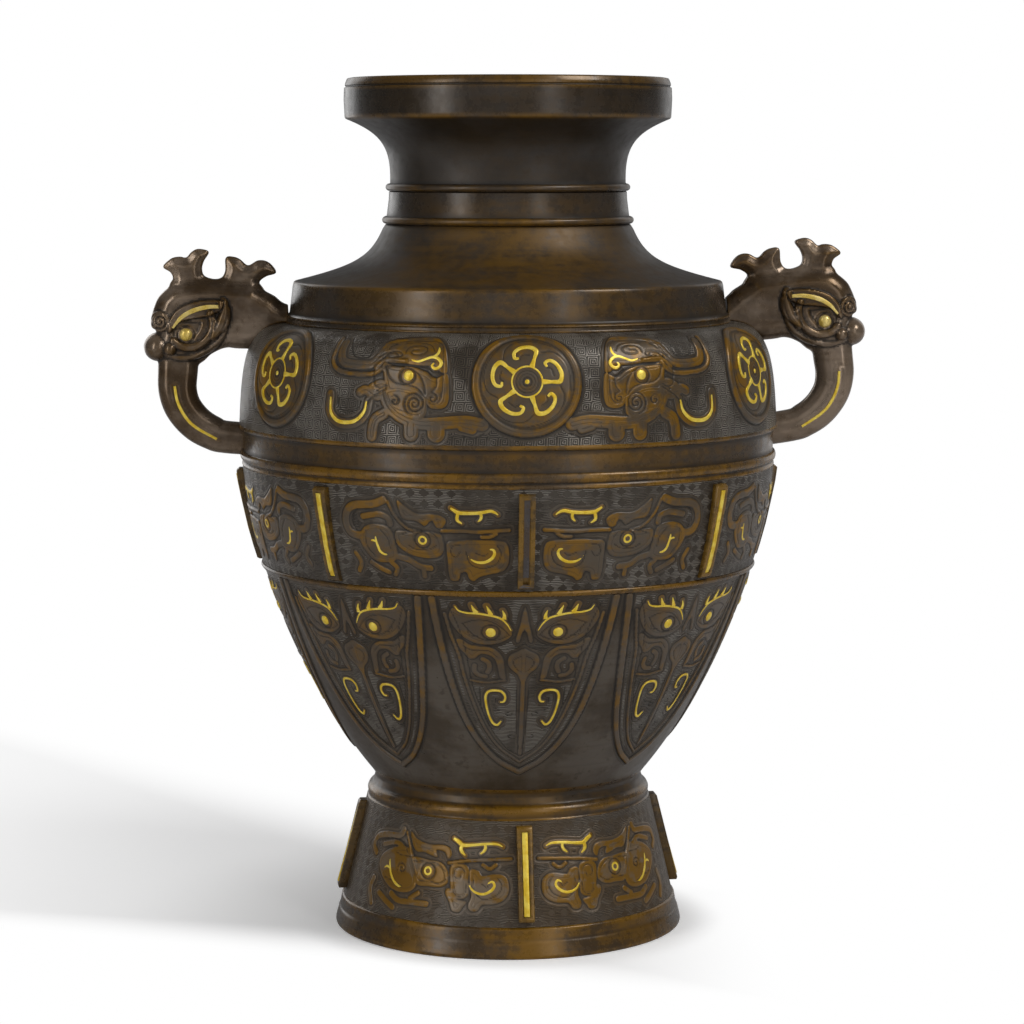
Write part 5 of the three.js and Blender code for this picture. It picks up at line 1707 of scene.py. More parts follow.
@dataclass(frozen=True)
class Belly:
    """The belly casting: a band of beasts between bars over eight hanging blades.

    Attributes:
        band_z: Height of the middle of its beasts.
        band_top_z: Upper edge of its band.
        band_low_z: Lower edge of its band.
        band_cell: Width and height of a lozenge.
        band_spacing: Distance between the points of the band's relief.
        blade_z: Height of the middle of its blades.
        blade_cell: Width and height of a cell of the blades' ground.
        blade_spacing: Distance between the points of the blades' relief.
    """

    band_z: float = 196.0
    band_top_z: float = 219.3
    band_low_z: float = 173.6
    band_cell: Point = (6.1, 4.8)
    band_spacing: float = 0.53
    blade_z: float = 130.0
    blade_cell: Point = (5.2, 4.8)
    blade_spacing: float = 0.52

    @property
    def beasts(self) -> list[Chart]:
        """Where the two beasts beside a bar are."""
        return [Chart(BELLY, self.band_z, -22.5), Chart(BELLY, self.band_z, 22.5, True)]

    @property
    def blade(self) -> Chart:
        """Where the front blade is."""
        return Chart(BELLY, self.blade_z, 0.0)

    def carve_band(self, azimuth: Array, arc: Array) -> Relief:
        """Relief of the beasts, which repeats at each quarter turn."""
        return carve_all(self.beasts, BELLY_BEAST, folded(azimuth, 4), arc)

    def carve_blade(self, azimuth: Array, arc: Array) -> Relief:
        """Relief of the blades, which repeats at each eighth of a turn."""
        return carve_all([self.blade], BLADE_MASK, folded(azimuth, 8), arc, True)

    def outside_blade(self, azimuth: Array, arc: Array) -> Array:
        """Finds what lies outside the blades.

        Args:
            azimuth: Azimuths of the points.
            arc: Distances along the profile of the points.

        Returns:
            1 for a point outside the blades' outline and 0 inside it.
        """
        across, up = self.blade.flatten(folded(azimuth, 8), arc)
        edge = BLADE_MASK.strokes[0].path
        rim = spline([*edge, *((-x, y) for x, y in edge[-2::-1])], 1.0)
        return 1.0 - within(across, up, np.vstack([rim, rim[:1]])).astype(float)

    def build(self, shop: Workshop) -> list[bpy.types.Object]:
        """Builds the casting and its gold.

        Args:
            shop: The finishes and tools.

        Returns:
            The pieces.
        """
        walls = []
        for k in range(2):
            band_panel = Panel(f"belly_band_{k + 1}", BELLY, -45.0 + 90 * k, 90.0, self.band_top_z,
                               self.band_low_z, self.band_cell, self.band_spacing)
            walls.append(band_panel.build(self.carve_band, shop.palette.lozenge, shop.ring))
        for k in range(4):
            blade_panel = Panel(f"belly_blades_{k + 1}", BELLY, -22.5 + 45 * k, 45.0, BLADE_TOP_Z,
                                FOOT_JOINT_Z, self.blade_cell, self.blade_spacing,
                                plain=self.outside_blade)
            walls.append(blade_panel.build(self.carve_blade, shop.palette.lines, shop.ring))
        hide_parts("belly")
        both = [self.blade, replace(self.blade, mirrored=True)]
        golds = [shop.smith.lay("belly_band_gold", BELLY_BEAST, self.beasts, 4),
                 shop.smith.lay("belly_blade_gold", BLADE_MASK, both, 8)]
        return in_slot(walls) + in_slot(golds)


@dataclass(frozen=True)
class FootRing:
    """The foot casting: four beasts between bars, turned a little from the belly.

    Attributes:
        turned: Degrees that it is turned against the belly.
        centre_z: Height of the middle of its beasts.
        cell: Width and height of a lozenge.
        spacing: Distance between the points of its relief.
    """

    turned: float = 2.3
    centre_z: float = 37.0
    cell: Point = (6.1, 4.8)
    spacing: float = 0.55

    @property
    def beasts(self) -> list[Chart]:
        """Where the two beasts beside a bar are."""
        places = ((-45.0 + self.turned, False), (45.0 + self.turned, True))
        return [Chart(FOOT, self.centre_z, degrees, flip) for degrees, flip in places]

    def carve(self, azimuth: Array, arc: Array) -> Relief:
        """Relief of the beasts, which repeats at each half turn."""
        middle = math.radians(self.turned)
        return carve_all(self.beasts, FOOT_BEAST, folded(azimuth - middle, 2) + middle, arc)

    def build(self, shop: Workshop) -> list[bpy.types.Object]:
        """Builds the relief band and its gold.

        Args:
            shop: The finishes and tools.

        Returns:
            The pieces.
        """
        panel = Panel("foot_band", FOOT, -90.0 + self.turned, 180.0, FOOT_BAND_TOP_Z, FOOT_BAND_LOW_Z,
                      self.cell, self.spacing)
        wall = panel.build(self.carve, shop.palette.foot, shop.ring)
        gold = shop.smith.lay("foot_band_gold", FOOT_BEAST, self.beasts, 2)
        return in_slot([wall]) + in_slot([gold])


def turned_ring(name: str, outline: Sequence[Point], finish: bpy.types.Material,
                columns: int = 256, rubbed: Sequence[Point] = ((0.0, 0.0),),
                matte: Sequence[Point] = ((0.0, 0.0),), painted_side_shade: float = 0.4) -> bpy.types.Object:
    """Turns a closed section round the axis.

    Args:
        name: Name of the piece.
        outline: The section, in order round it.
        finish: Its material.
        columns: Steps round the axis.
        rubbed: How much of the patina is rubbed off, as pairs of height and share.
        matte: How dull it is, likewise.
        painted_side_shade: How much less of the ochre rub is painted towards ±X, where the handles are, as
            painted shade on the sides of the ring seen from the front.

    Returns:
        The piece.
    """
    section = np.array(fill_in([*outline, outline[0]], 2.0 * COARSE)[:-1], float)
    count, columns = len(section), int(columns / COARSE) // 4 * 4
    turn = 2 * math.pi * np.arange(columns) / columns
    radius, level = section[:, :1], np.repeat(section[:, 1:], columns, axis=1)
    points = np.stack([radius * np.sin(turn), -radius * np.cos(turn), level], axis=-1).reshape(-1, 3)
    number = np.arange(count * columns).reshape(count, columns)
    after, beside = np.roll(number, -1, axis=0), np.roll(number, -1, axis=1)
    quads = np.stack([number, after, np.roll(after, -1, axis=1), beside], axis=-1).reshape(-1, 4)
    ring = np.vstack([section, section[:1]])
    length = np.concatenate([[0.0], np.cumsum(np.hypot(*np.diff(ring, axis=0).T))])
    even = np.linspace(0.0, length[-1], int(length[-1] / 0.4) + 1)[:-1]
    dense = np.stack([np.interp(even, length, side) for side in ring.T], axis=-1)
    blurred = sum(np.roll(dense, k, axis=0) for k in range(-5, 6)) / 11
    slope = np.roll(dense, -1, axis=0) - np.roll(dense, 1, axis=0)
    area = np.sum(dense[:, 0] * np.roll(dense[:, 1], -1) - np.roll(dense[:, 0], -1) * dense[:, 1])
    facing = np.stack([slope[:, 1], -slope[:, 0]], axis=-1) * np.sign(area)
    facing /= np.maximum(np.hypot(*facing.T)[:, None], 1e-9)
    crest = np.interp(length[:-1], even, np.einsum("ij,ij->i", dense - blurred, facing))
    rub, dull = (np.interp(section[:, 1], *np.array(share, float).T) for share in (rubbed, matte))
    values = {
        "worn": np.repeat(ramp(crest, 0.02, 0.3), columns),
        "recess": np.repeat(0.85 * ramp(-crest, 0.03, 0.3), columns),
        # The rub share thins towards ±X: painted shade on the ring's sides as seen from the front, over the
        # rubbed metal.
        "rub": np.outer(rub, 1 - painted_side_shade * np.sin(turn) ** 2).ravel(),
        "matte": np.repeat(dull, columns),
    }
    return new_object(name, points, quads.tolist(), values, finish, 40.0)


@dataclass(frozen=True)
class PlainRings:
    """The plain turned parts: mouth and neck, waist, thread, top of the foot and its plinth.

    Attributes:
        neck_steps: Steps of the neck round the axis.
        body_steps: Steps of the waist and the thread.
        foot_steps: Steps of the two rings of the foot.
    """

    neck_steps: int = 240
    body_steps: int = 256
    foot_steps: int = 224

    NECK_RUBBED = ((289.0, 0.4), (291.0, 0.5), (303.0, 0.5), (306.0, 0.42), (328.0, 0.55), (340.0, 0.3),
                   (352.0, 0.12), (379.0, 0.08), (380.5, 0.5), (382.5, 0.15), (393.0, 0.12), (394.6, 0.5),
                   (399.0, 0.3))
    NECK_MATTE = ((304.0, 0.0), (306.0, 0.9), (330.0, 0.8), (336.0, 0.0), (346.0, 0.0), (352.0, 0.6),
                  (379.0, 0.6), (381.0, 0.0))
    WAIST_RUBBED = ((220.0, 1.0), (226.0, 0.7), (229.0, 0.35), (232.0, 0.6), (238.0, 0.9))
    FOOT_TOP_RUBBED = ((62.0, 0.95), (68.0, 0.8), (74.0, 0.6))

    def neck(self) -> list[Point]:
        """Draws the mouth, its cove, the two beads and the flare to the collar.

        Returns:
            The section.
        """
        outer = soften([(73.2, 398.9), (74.9, 398.6), (75.8, 396.4), (75.9, 395.4)], 0.5)
        outer += soften([(75.55, 395.0), (75.6, 394.6), (76.3, 394.3)], 0.2) + [(76.5, 388.9), (76.1, 380.8)]
        outer += bezier((75.6, 380.0), ((59.62, 373.52), (54.49, 367.79)), (55.05, 350.4), 26)
        outer += bead(55.1, 350.2) + [(55.6, 346.2), (55.7, 343.0), (56.6, 336.0)] + bead(56.8, 335.0)
        outer += [(57.4, 331.0)]
        outer += bezier((58.7, 329.0), ((64.63, 315.64), (71.72, 311.91)), (99.8, 304.8), 26)
        outer += soften([(100.3, 304.4), (100.7, 303.2), (102.3, 290.4), (102.9, 289.6)], 0.5)
        outer += soften([(103.7, 289.3), (104.2, 288.7), (103.8, 288.1), (103.9, 286.8), (104.3, 286.4),
                         (104.2, 285.9)], 0.3)
        inner = [(98.6, 285.9), (96.4, 285.9), (95.6, 299.6)]
        inner += bezier((94.0, 301.4), ((67.4, 307.8), (60.2, 312.2)), (54.6, 326.4), 18)
        inner += [(52.2, 333.2), (51.2, 343.0), (50.6, 350.0)]
        inner += bezier((50.5, 352.0), ((50.0, 369.0), (56.0, 377.0)), (69.6, 382.6), 18)
        return outer + inner + soften([(70.2, 384.0), (70.2, 397.6), (71.2, 398.8)], 0.8)

    def waist(self) -> list[Point]:
        """Draws the rounded band under the shoulder and the bead under it.

        Returns:
            The section.
        """
        outer = soften([(126.2, 238.5), (126.4, 237.4), (125.9, 236.5), (124.7, 236.2), (124.5, 228.2)], 0.5)
        outer += [(124.5, 227.2)] + bead(124.6, 226.4, 1.3, 4.4)
        outer += soften([(124.5, 221.6), (124.8, 221.0)], 0.2)
        outer += soften([(125.0, 220.6), (125.1, 219.9), (124.7, 219.3)], 0.2)
        return outer + [(120.3, 219.3), (120.3, 238.5)]

    def thread(self) -> list[Point]:
        """Draws the rib between the beasts and the blades.

        Returns:
            The section.
        """
        r = float(BELLY.radius_at(172.3))
        outer = soften([(r + 0.3, 173.6), (r + 1.0, 173.4), (r + 1.3, 172.4), (r + 0.4, 171.2),
                        (r - 0.6, 171.0)], 0.5)
        return outer + [(r - 4.0, 171.0), (r - 4.0, 173.6)]

    def foot_top(self) -> list[Point]:
        """Draws the hollow moulding between the belly and the foot band.

        Returns:
            The section.
        """
        outer = soften([(65.2, 75.0), (63.6, 72.8), (63.2, 71.2), (64.2, 68.0), (66.1, 66.6), (66.9, 64.9),
                        (66.4, 61.8), (67.2, 61.0)], 0.7)
        return outer + [(62.4, 61.0), (58.2, 64.8), (58.2, 75.0)]

    def plinth(self) -> list[Point]:
        """Draws the stepped edge that the vase stands on.

        Returns:
            The section.
        """
        outer = soften([(78.4, 14.0), (79.4, 13.4), (80.3, 8.2), (80.9, 7.2), (82.4, 1.4), (82.2, 0.2),
                        (81.6, 0.0)], 0.6)
        return outer + [(77.3, 0.0), (76.9, 1.2), (73.9, 14.0)]

    def build(self, shop: Workshop) -> list[bpy.types.Object]:
        """Turns the rings.

        Args:
            shop: The finishes and tools.

        Returns:
            The pieces.
        """
        bronze = shop.palette.plain
        pieces = [
            turned_ring("neck", self.neck(), bronze, self.neck_steps, self.NECK_RUBBED, self.NECK_MATTE,
                        0.95),
            turned_ring("waist", self.waist(), bronze, self.body_steps, self.WAIST_RUBBED),
            turned_ring("thread", self.thread(), bronze, self.body_steps, ((0.0, 0.85),), painted_side_shade=0.9),
            turned_ring("foot_top", self.foot_top(), bronze, self.foot_steps, self.FOOT_TOP_RUBBED),
            turned_ring("plinth", self.plinth(), bronze, self.foot_steps, ((0.0, 0.95),), painted_side_shade=0.75),
        ]
        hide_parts("mouth_neck")
        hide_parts("foot_ring")
        return in_slot(pieces)


@dataclass(frozen=True)
class Bars:
    """The upright bars of the belly and the foot, with their gold strips.

    Attributes:
        bevel: Width of the bars' rounded edges.
        gold_bevel: Width of the gold strips' rounded edges.
        empty: The bar whose strip is lost.
        empty_bevel: Width of its rounded edges.
        slot_half: Half the width of its slot.
        slot_deep: Depth of its slot.
        proud: How far the bars stand out from the belly.
        side_reach: How far a bar at a handle may lie from the plane of the handles.
    """

    bevel: float = 0.45
    gold_bevel: float = 0.12
    empty: str = "belly_bar_1"
    empty_bevel: float = 0.25
    slot_half: float = 0.9
    slot_deep: float = 2.2
    proud: float = 2.7
    side_reach: float = 30.0

    def dress(self, node: str, finish: bpy.types.Material, bevel: float) -> bpy.types.Object:
        """A softened copy of a CAD node, which takes the node's place.

        Args:
            node: Name of the node.
            finish: Its material.
            bevel: Width of its rounded edges.

        Returns:
            The piece.
        """
        obj = set_out(f"{node}_piece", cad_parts[node].data.copy())
        weld = obj.modifiers.new("weld", "WELD")
        weld.merge_threshold = 0.01 * MM
        edge = obj.modifiers.new("edge", "BEVEL")
        edge.width, edge.segments, edge.limit_method = bevel * MM, 2, "ANGLE"
        edge.angle_limit = math.radians(28)
        edge.use_clamp_overlap = True
        mesh = bpy.data.meshes.new_from_object(obj.evaluated_get(bpy.context.evaluated_depsgraph_get()))
        obj.modifiers.clear()
        obj.data = mesh
        mesh.materials.clear()
        mesh.materials.append(finish)
        mesh.shade_smooth()
        mesh.set_sharp_from_angle(angle=math.radians(50))
        worn = np.full(len(mesh.vertices), 0.35, np.float32)
        mesh.attributes.new("worn", "FLOAT", "POINT").data.foreach_set("value", worn)
        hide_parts(node)
        return obj

    def darken_slot(self, piece: bpy.types.Object, patina: bpy.types.Material) -> None:
        """Keeps the patina in the empty slot of the front bar.

        Args:
            piece: The bar.
            patina: What its slot is dressed in.
        """
        piece.data.materials.append(patina)
        for face in piece.data.polygons:
            x, y, z = face.center / MM
            floor = float(BELLY.radius_at(z)) + self.proud
            if abs(x) < self.slot_half and floor - self.slot_deep < -y < floor:
                face.material_index = 1

    def build(self, shop: Workshop) -> list[bpy.types.Object]:
        """Builds the bars and strips.

        Args:
            shop: The finishes and tools.

        Returns:
            The pieces.
        """
        palette, bars, strips = shop.palette, [], []
        for node in sorted(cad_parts):
            if "_bar_" not in node:
                continue
            if node.endswith("gold_strip"):
                strips.append(self.dress(node, palette.gold, self.gold_bevel))
                continue
            low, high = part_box(node)
            at_handle = abs(low[1] + high[1]) / 2 < self.side_reach * MM
            bevel = self.empty_bevel if node == self.empty else self.bevel
            bars.append(self.dress(node, palette.side_edge if at_handle else palette.edge, bevel))
            if node == self.empty:
                self.darken_slot(bars[-1], palette.slot)
        return in_slot(bars) + in_slot(strips)


def tip_up(x: Array, z: Array, degrees: float) -> tuple[Array, Array]:
    """Turns points of a handle's plane about the middle of its root.

    Args:
        x: Their distances from the axis.
        z: Their heights.
        degrees: How far the head is tipped up.

    Returns:
        Their new distances and heights.
    """
    c, s = math.cos(math.radians(degrees)), math.sin(math.radians(degrees))
    dx, dz = x - Handle.PIVOT[0], z - Handle.PIVOT[1]
    return Handle.PIVOT[0] + dx * c - dz * s, Handle.PIVOT[1] + dx * s + dz * c


def smooth_least(a: Array, b: Array, blend: float) -> Array:
    """The lesser of two distances with the corner between them rounded."""
    h = np.clip(0.5 + 0.5 * (b - a) / blend, 0.0, 1.0)
    return b * (1 - h) + a * h - blend * h * (1 - h)


def slab_distance(flat: Array, beyond: Array, radius: float) -> Array:
    """Distance from a flat shape of some thickness with rounded edges.

    Args:
        flat: Distance from its outline, in its plane.
        beyond: Distance past its face.
        radius: Radius of its edges.

    Returns:
        The distance.
    """
    a, b = flat + radius, beyond + radius
    return np.hypot(np.maximum(a, 0), np.maximum(b, 0)) + np.minimum(np.maximum(a, b), 0) - radius


def block(grid: Array, start: Sequence[int], shape: Sequence[int]) -> Array:
    """The part of a grid that has a shape and starts at a place."""
    return grid[tuple(slice(first, first + count) for first, count in zip(start, shape))]


def surface_nets(f: Array, origin: Sequence[float], step: float) -> tuple[Array, Array]:
    """Skins the zero level of a field sampled on a grid.

    Args:
        f: The field, below zero inside.
        origin: Place of its first sample.
        step: Distance between samples.

    Returns:
        Points and four-sided faces.
    """
    inside, corners = f < 0, ((0, 0), (1, 0), (1, 1), (0, 1))
    shape = tuple(n - 1 for n in f.shape)
    total, count = np.zeros((*shape, 3)), np.zeros(shape)
    for axis, one, two in ((0, 1, 2), (1, 0, 2), (2, 0, 1)):
        for a, b in ((0, 0), (0, 1), (1, 0), (1, 1)):
            low = [0, 0, 0]
            low[one], low[two] = a, b
            high = list(low)
            high[axis] = 1
            f0, f1 = block(f, low, shape), block(f, high, shape)
            crossed = (f0 < 0) != (f1 < 0)
            total[..., axis] += np.where(crossed, f0 / np.where(crossed, f0 - f1, 1.0), 0.0)
            total[..., one] += a * crossed
            total[..., two] += b * crossed
            count += crossed
    used = count > 0
    number = np.full(shape, -1)
    number[used] = np.arange(int(used.sum()))
    points = np.argwhere(used) + total[used] / count[used][:, None]
    faces = []
    for axis, one, two in ((0, 1, 2), (1, 0, 2), (2, 0, 1)):
        low, size = [1, 1, 1], [n - 2 for n in f.shape]
        low[axis], size[axis] = 0, shape[axis]
        start = block(inside, low, size)
        crossed = np.argwhere(start != block(inside, (1, 1, 1), size))
        ends = []
        for a, b in corners:
            cell = crossed.copy()
            cell[:, one] += a
            cell[:, two] += b
            ends.append(number[tuple(cell.T)])
        quad = np.stack(ends, axis=-1)
        turn = start[tuple(crossed.T)] != (axis == 1)
        faces.append(np.where(turn[:, None], quad, quad[:, ::-1]))
    return np.asarray(origin) + step * points, np.vstack(faces)


def shifted(points: Sequence[Point], out: float) -> list[Point]:
    """Points moved away from the axis."""
    return [(x + out, z) for x, z in points]


@dataclass(frozen=True)
class Handle:
    """A bird-head handle: a flat head with a crest, over a loop that returns to the belly.

    Attributes:
        name: Which side it is on.
        tilt: Degrees that it is set above level.
        turned: Whether it is the one at -X.
    """

    name: str
    tilt: float
    turned: bool

    ROOT = 124.9
    PIVOT = (75.9, 262.0)
    HALF_HEAD = 8.5
    HALF_CREST = 3.5
    HALF_LOOP = 7.0
    STEP = 0.5
    SPAN = ((96.0, WAIST_JOINT_Z, -12.5), (172.5, 325.0, 12.5))
    WAIST_R = 124.6
    BEAK, BEAK_R, BEAK_WIDE = (38.7, 274.4), 6.7, 1.5
    NOSTRIL, NOSTRIL_R = (32.9, 273.8), 2.9
    NOSE_CURL = (37.7, 286.5)
    HEAD_EDGE, CREST_EDGE, LOOP_EDGE = 3.2, 1.0, 6.4

    HEAD = ((-40, 293.6), (-22.3, 293.8), (-15.4, 298), (-9.7, 301), (-5.9, 303.4), (3.1, 304.4),
            (13.9, 305.2), (25.1, 304.6), (31.8, 303), (37.1, 298.8), (39.5, 295), (41.7, 288),
            (41.5, 283.6), (39.5, 281.6), (41.1, 274), (37.7, 268.4), (31.1, 266.2), (19.7, 266.6),
            (13.6, 271.2), (6.9, 273.9), (-1.9, 273.4), (-40, 273.4))
    CREST = ((25.1, 298), (32.1, 303), (31.4, 306.3), (32.6, 309.1), (36, 311.7), (32.1, 315.5),
             (28.1, 316.3), (25.3, 315.9), (22.5, 318.7), (19.3, 319.9), (14.7, 318.5), (17, 314.2),
             (17.9, 310.7), (17, 307.4), (13.9, 305.4), (11.5, 305), (9, 306.2), (7.2, 309.8),
             (6.9, 315.8), (3.3, 316.2), (0.2, 315), (-3.4, 312.2), (-7.8, 314.4), (-11.8, 314.2),
             (-15, 311.8), (-16.4, 308.6), (-11.8, 307), (-8.5, 304.2), (-9.3, 300.6), (-0.9, 297))
    LOOP = ((29.1, 274), (29.6, 264), (30, 255.5), (28.5, 248.4), (25.3, 242.8), (20.5, 237.8),
            (14.5, 234.2), (7.9, 232), (-14, 230.4))
    LOOP_WIDTHS = (19, 18.6, 18, 17.4, 17, 16.6, 16, 15.2, 15)
    BROW = ((31.5, 283.6), (27.7, 288.2), (22.5, 291.4), (15.3, 293.3), (6.5, 293.4))
    BROW_WIDTHS = (1.1, 2.2, 2.6, 2.4, 1.5)
    EYE = (25.5, 280.4)
    STRIP = ((31, 256.4), (29.8, 249.4), (26.4, 242.4), (21.4, 237.2), (11.7, 231.6))
    STRIP_WIDTHS = (1.4, 1.6, 1.7, 1.6, 1.4)

    def side_relief(self, x: Array, z: Array) -> Array:
        """Height of the relief on the flat sides over their level.

        Args:
            x: Distances from the axis.
            z: Heights.

        Returns:
            The heights.
        """
        relief = Relief(x - self.ROOT, z)
        relief.add((
            plate((8.1, 295.9), (12.7, 296.5), (18.1, 296.2), (23.5, 294.9), (28.6, 292.4), (31.8, 289.1),
                  (33.6, 285), (33.3, 281.1), (31.5, 283.2), (29.5, 285.7), (25.6, 287.2), (20.4, 288.2),
                  (15, 289), (11.1, 290.6), (8.4, 293), rise=1.5),
            plate((7.4, 297), (5.2, 293.8), (4.6, 289.1), (6.1, 284.4), (9.8, 280.4), (14.4, 278.1),
                  (13.2, 281.9), (12.8, 285.9), (10.3, 288.7), (8.1, 292.2), rise=0.9),
            Stroke(Form.RIDGE, ((8.2, 295.4), (7.8, 290.2), (9.4, 284.6), (12.6, 279.6)), 4.6, 1.7),
            Stroke(Form.RIDGE, ((14, 290.2), (13, 285.6), (14.3, 280.6), (17.7, 276.5), (22.8, 274.4),
                                (27.9, 275.1), (31.2, 277.6)), 3.6, 1.5),
            Stroke(Form.RIDGE, ((6.3, 292.4), (6.7, 285.6), (9.2, 278.8), (14.3, 273.4), (21.1, 270.3),
                                (28.7, 269.4), (34.7, 271.4)), 2.6, 1.1),
            Stroke(Form.BAND, (self.NOSE_CURL, (self.NOSE_CURL[0] + 0.1, self.NOSE_CURL[1])), 9.4, 1.1),
            line(1.2, (20.4, 305.3), (20.4, 309.2), (19.3, 313.3)),
            line(1.0, (24, 265.1), (27.1, 267.2), (30.6, 268.7), (34.7, 268.9), (37.9, 267.1)),
            line(0.8, (17.6, 286.2), (21.7, 287.5), (27, 286.6), (31.5, 283.2)),
            mark(Form.COIL, self.NOSE_CURL, 4.3, 0.9),
            mark(Form.SOCKET, self.EYE, 3.9, 0.6),
        ))
        socket = ((17.6, 286.2), (21.7, 287.5), (27, 286.6), (31.5, 283.2), (31.9, 279.2), (28.4, 276.4),
                  (23.7, 277.2), (19.3, 280.8))
        hollow = spline(socket, 1.0, closed=True)
        inside = np.where(within(x - self.ROOT, z, hollow), nearest(x - self.ROOT, z, hollow), 0.0)
        return relief.height - 0.9 * ramp(inside, 0.0, 1.6) * (relief.raised < 0.2)

    def field(self, x: Array, z: Array, y: Array) -> Array:
        """Distance of each point of a grid from the handle's skin, below zero inside.

        Args:
            x: Distances from the axis, on the grid's first two axes.
            z: Heights, likewise.
            y: Distances across, along the grid's last axis.

        Returns:
            The distances.
        """
        out = x - self.ROOT

        def outline(points: Sequence[Point]) -> Array:
            """Measures from an outline in the handle's plane.

            Args:
                points: Its points.

            Returns:
                Distance of each point of the grid, below zero inside.
            """
            shape = spline(points, 0.8, closed=True)
            distance = nearest(out, z, shape)
            return np.where(within(out, z, shape), -distance, distance)

        side = self.side_relief(x, z)
        across = np.abs(y)[None, None, :]
        head_flat = outline(self.HEAD)
        side = side - 3.6 * (1 - ramp(-head_flat, 0.0, 9.0)) ** 2
        head = slab_distance(head_flat[..., None], across - self.HALF_HEAD - side[..., None],
                             self.HEAD_EDGE)
        crest_flat = outline(self.CREST)
        fall = -1.5 * (1 - ramp(-crest_flat, 0.0, 4.5))
        crest = slab_distance(crest_flat[..., None], across - self.HALF_CREST - 0.5 - fall[..., None],
                              self.CREST_EDGE)
        way = spline(self.LOOP, 1.0)
        widths = np.interp(way[:, 2], np.arange(len(self.LOOP_WIDTHS)), self.LOOP_WIDTHS)
        loop_flat = np.min([
            np.hypot(out - px, z - pz) - half / 2 for (px, pz, _), half in zip(way, widths)
        ], axis=0)
        bed = np.exp(-((nearest(out, z, spline(self.STRIP, 1.0)) / 1.9) ** 4)) * 0.4
        loop = slab_distance(loop_flat[..., None], across - self.HALF_LOOP - bed[..., None],
                             self.LOOP_EDGE)
        to_beak, to_nostril = (
            ((out - px) ** 2 + (z - pz) ** 2)[..., None] for px, pz in (self.BEAK, self.NOSTRIL)
        )
        beak = np.sqrt(to_beak + (across / self.BEAK_WIDE) ** 2) - self.BEAK_R
        nostril = np.sqrt(to_nostril + (across - self.HALF_HEAD) ** 2) - self.NOSTRIL_R
        whole = smooth_least(head, loop, 2.0)
        whole = smooth_least(whole, crest, 3.2)
        whole = smooth_least(whole, beak, 0.6)
        whole = smooth_least(whole, nostril, 0.5)
        real_x, real_z = tip_up(x, z, self.tilt)
        wall = np.where(real_z > BAND_LOW_Z, SHOULDER.radius_at(real_z), BELLY.radius_at(real_z))
        wall = np.where((real_z < BAND_LOW_Z) & (real_z > WAIST_JOINT_Z), self.WAIST_R, wall)
        buried = (wall - 1.0)[..., None] - np.hypot(real_x[..., None], y[None, None])
        return np.maximum(whole, buried)

    def build(self, shop: Workshop) -> list[bpy.types.Object]:
        """Builds the casting and its gold.

        Args:
            shop: The finishes and tools.

        Returns:
            The pieces.
        """
        step = self.STEP * COARSE
        (x0, z0, y0), (x1, z1, y1) = self.SPAN
        xs, zs, ys = np.arange(x0, x1, step), np.arange(z0, z1, step), np.arange(y0, y1, step)
        x, z = np.meshgrid(xs, zs, indexing="ij")
        f = self.field(x, z, ys)
        points, quads = surface_nets(f, (x0, z0, y0), step)
        smooth = f
        for axis in range(3):
            smooth = (np.roll(smooth, 1, axis) + np.roll(smooth, 2, axis) + smooth
                      + np.roll(smooth, -1, axis) + np.roll(smooth, -2, axis)) / 5
        cell = np.clip(np.rint((points - (x0, z0, y0)) / step).astype(int), 0, np.array(f.shape) - 1)
        bend = (smooth - f)[tuple(cell.T)] / self.STEP
        values = {"worn": ramp(bend, 0.02, 0.3), "recess": ramp(-bend, 0.02, 0.26)}
        turned_x, turned_z = tip_up(points[:, 0], points[:, 1], self.tilt)
        sign = -1 if self.turned else 1
        place = np.stack([sign * turned_x, sign * points[:, 2], turned_z], axis=-1)
        bronze = shop.palette.handle
        body = new_object(f"{self.name}_handle_casting", place, quads.tolist(), values, bronze)
        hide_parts(f"{self.name}_handle")
        brow = shifted(self.BROW, self.ROOT)
        strip = shifted(self.STRIP, self.ROOT)
        eye = shifted([self.EYE], self.ROOT)[0]
        sides = [SidePlane(side, self.tilt, self.turned) for side in (-1, 1)]
        polished, smith = shop.palette.pale_gold, shop.smith
        top = Ornament((), (Wire(tuple(brow), self.BROW_WIDTHS),), (), self.HALF_HEAD + 1.5)
        low = Ornament((), (Wire(tuple(strip), self.STRIP_WIDTHS),), (), self.HALF_LOOP + 0.4)
        ball = Ornament((), (), (Stud(eye, 3.0),), self.HALF_HEAD - 0.6)
        golds = [
            smith.lay(f"{self.name}_handle_brows", top, sides, proud=0.15, finish=polished),
            smith.lay(f"{self.name}_handle_strips", low, sides, proud=0.1),
            smith.lay(f"{self.name}_handle_eyes", ball, sides, flat=0.75, finish=polished),
        ]
        for piece, part in zip(golds, ("brow", "strip", "eye")):
            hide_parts(*[f"{self.name}_handle_gold_{side}_{part}" for side in ("back", "front")])
        return in_slot([body]) + in_slot(golds)


@dataclass(frozen=True)
class Softbox:
    """A photographer's light.

    Attributes:
        name: Name of the light.
        azimuth: Where it stands, in degrees from the front towards +X.
        height: Height of its middle.
        away: Distance from the axis.
        width: Width of its face.
        tall: Height of its face.
        radiance: Brightness of its face.
    """

    name: str
    azimuth: float
    height: float
    away: float
    width: float
    tall: float
    radiance: float

    AIM = (0.0, 0.0, 210.0)

    def build(self) -> None:
        """Hangs the light, turned towards the middle of the vase."""
        data = bpy.data.lights.new(self.name, "AREA")
        data.shape, data.size, data.size_y = "RECTANGLE", self.width * MM, self.tall * MM
        data.energy = self.radiance * math.pi * self.width * self.tall * MM * MM
        turn = math.radians(self.azimuth)
        place = Vector((self.away * math.sin(turn), -self.away * math.cos(turn), self.height)) * MM
        light = set_out(self.name, data)
        light.location = place
        light.rotation_euler = (Vector(self.AIM) * MM - place).to_track_quat("-Z", "Y").to_euler()


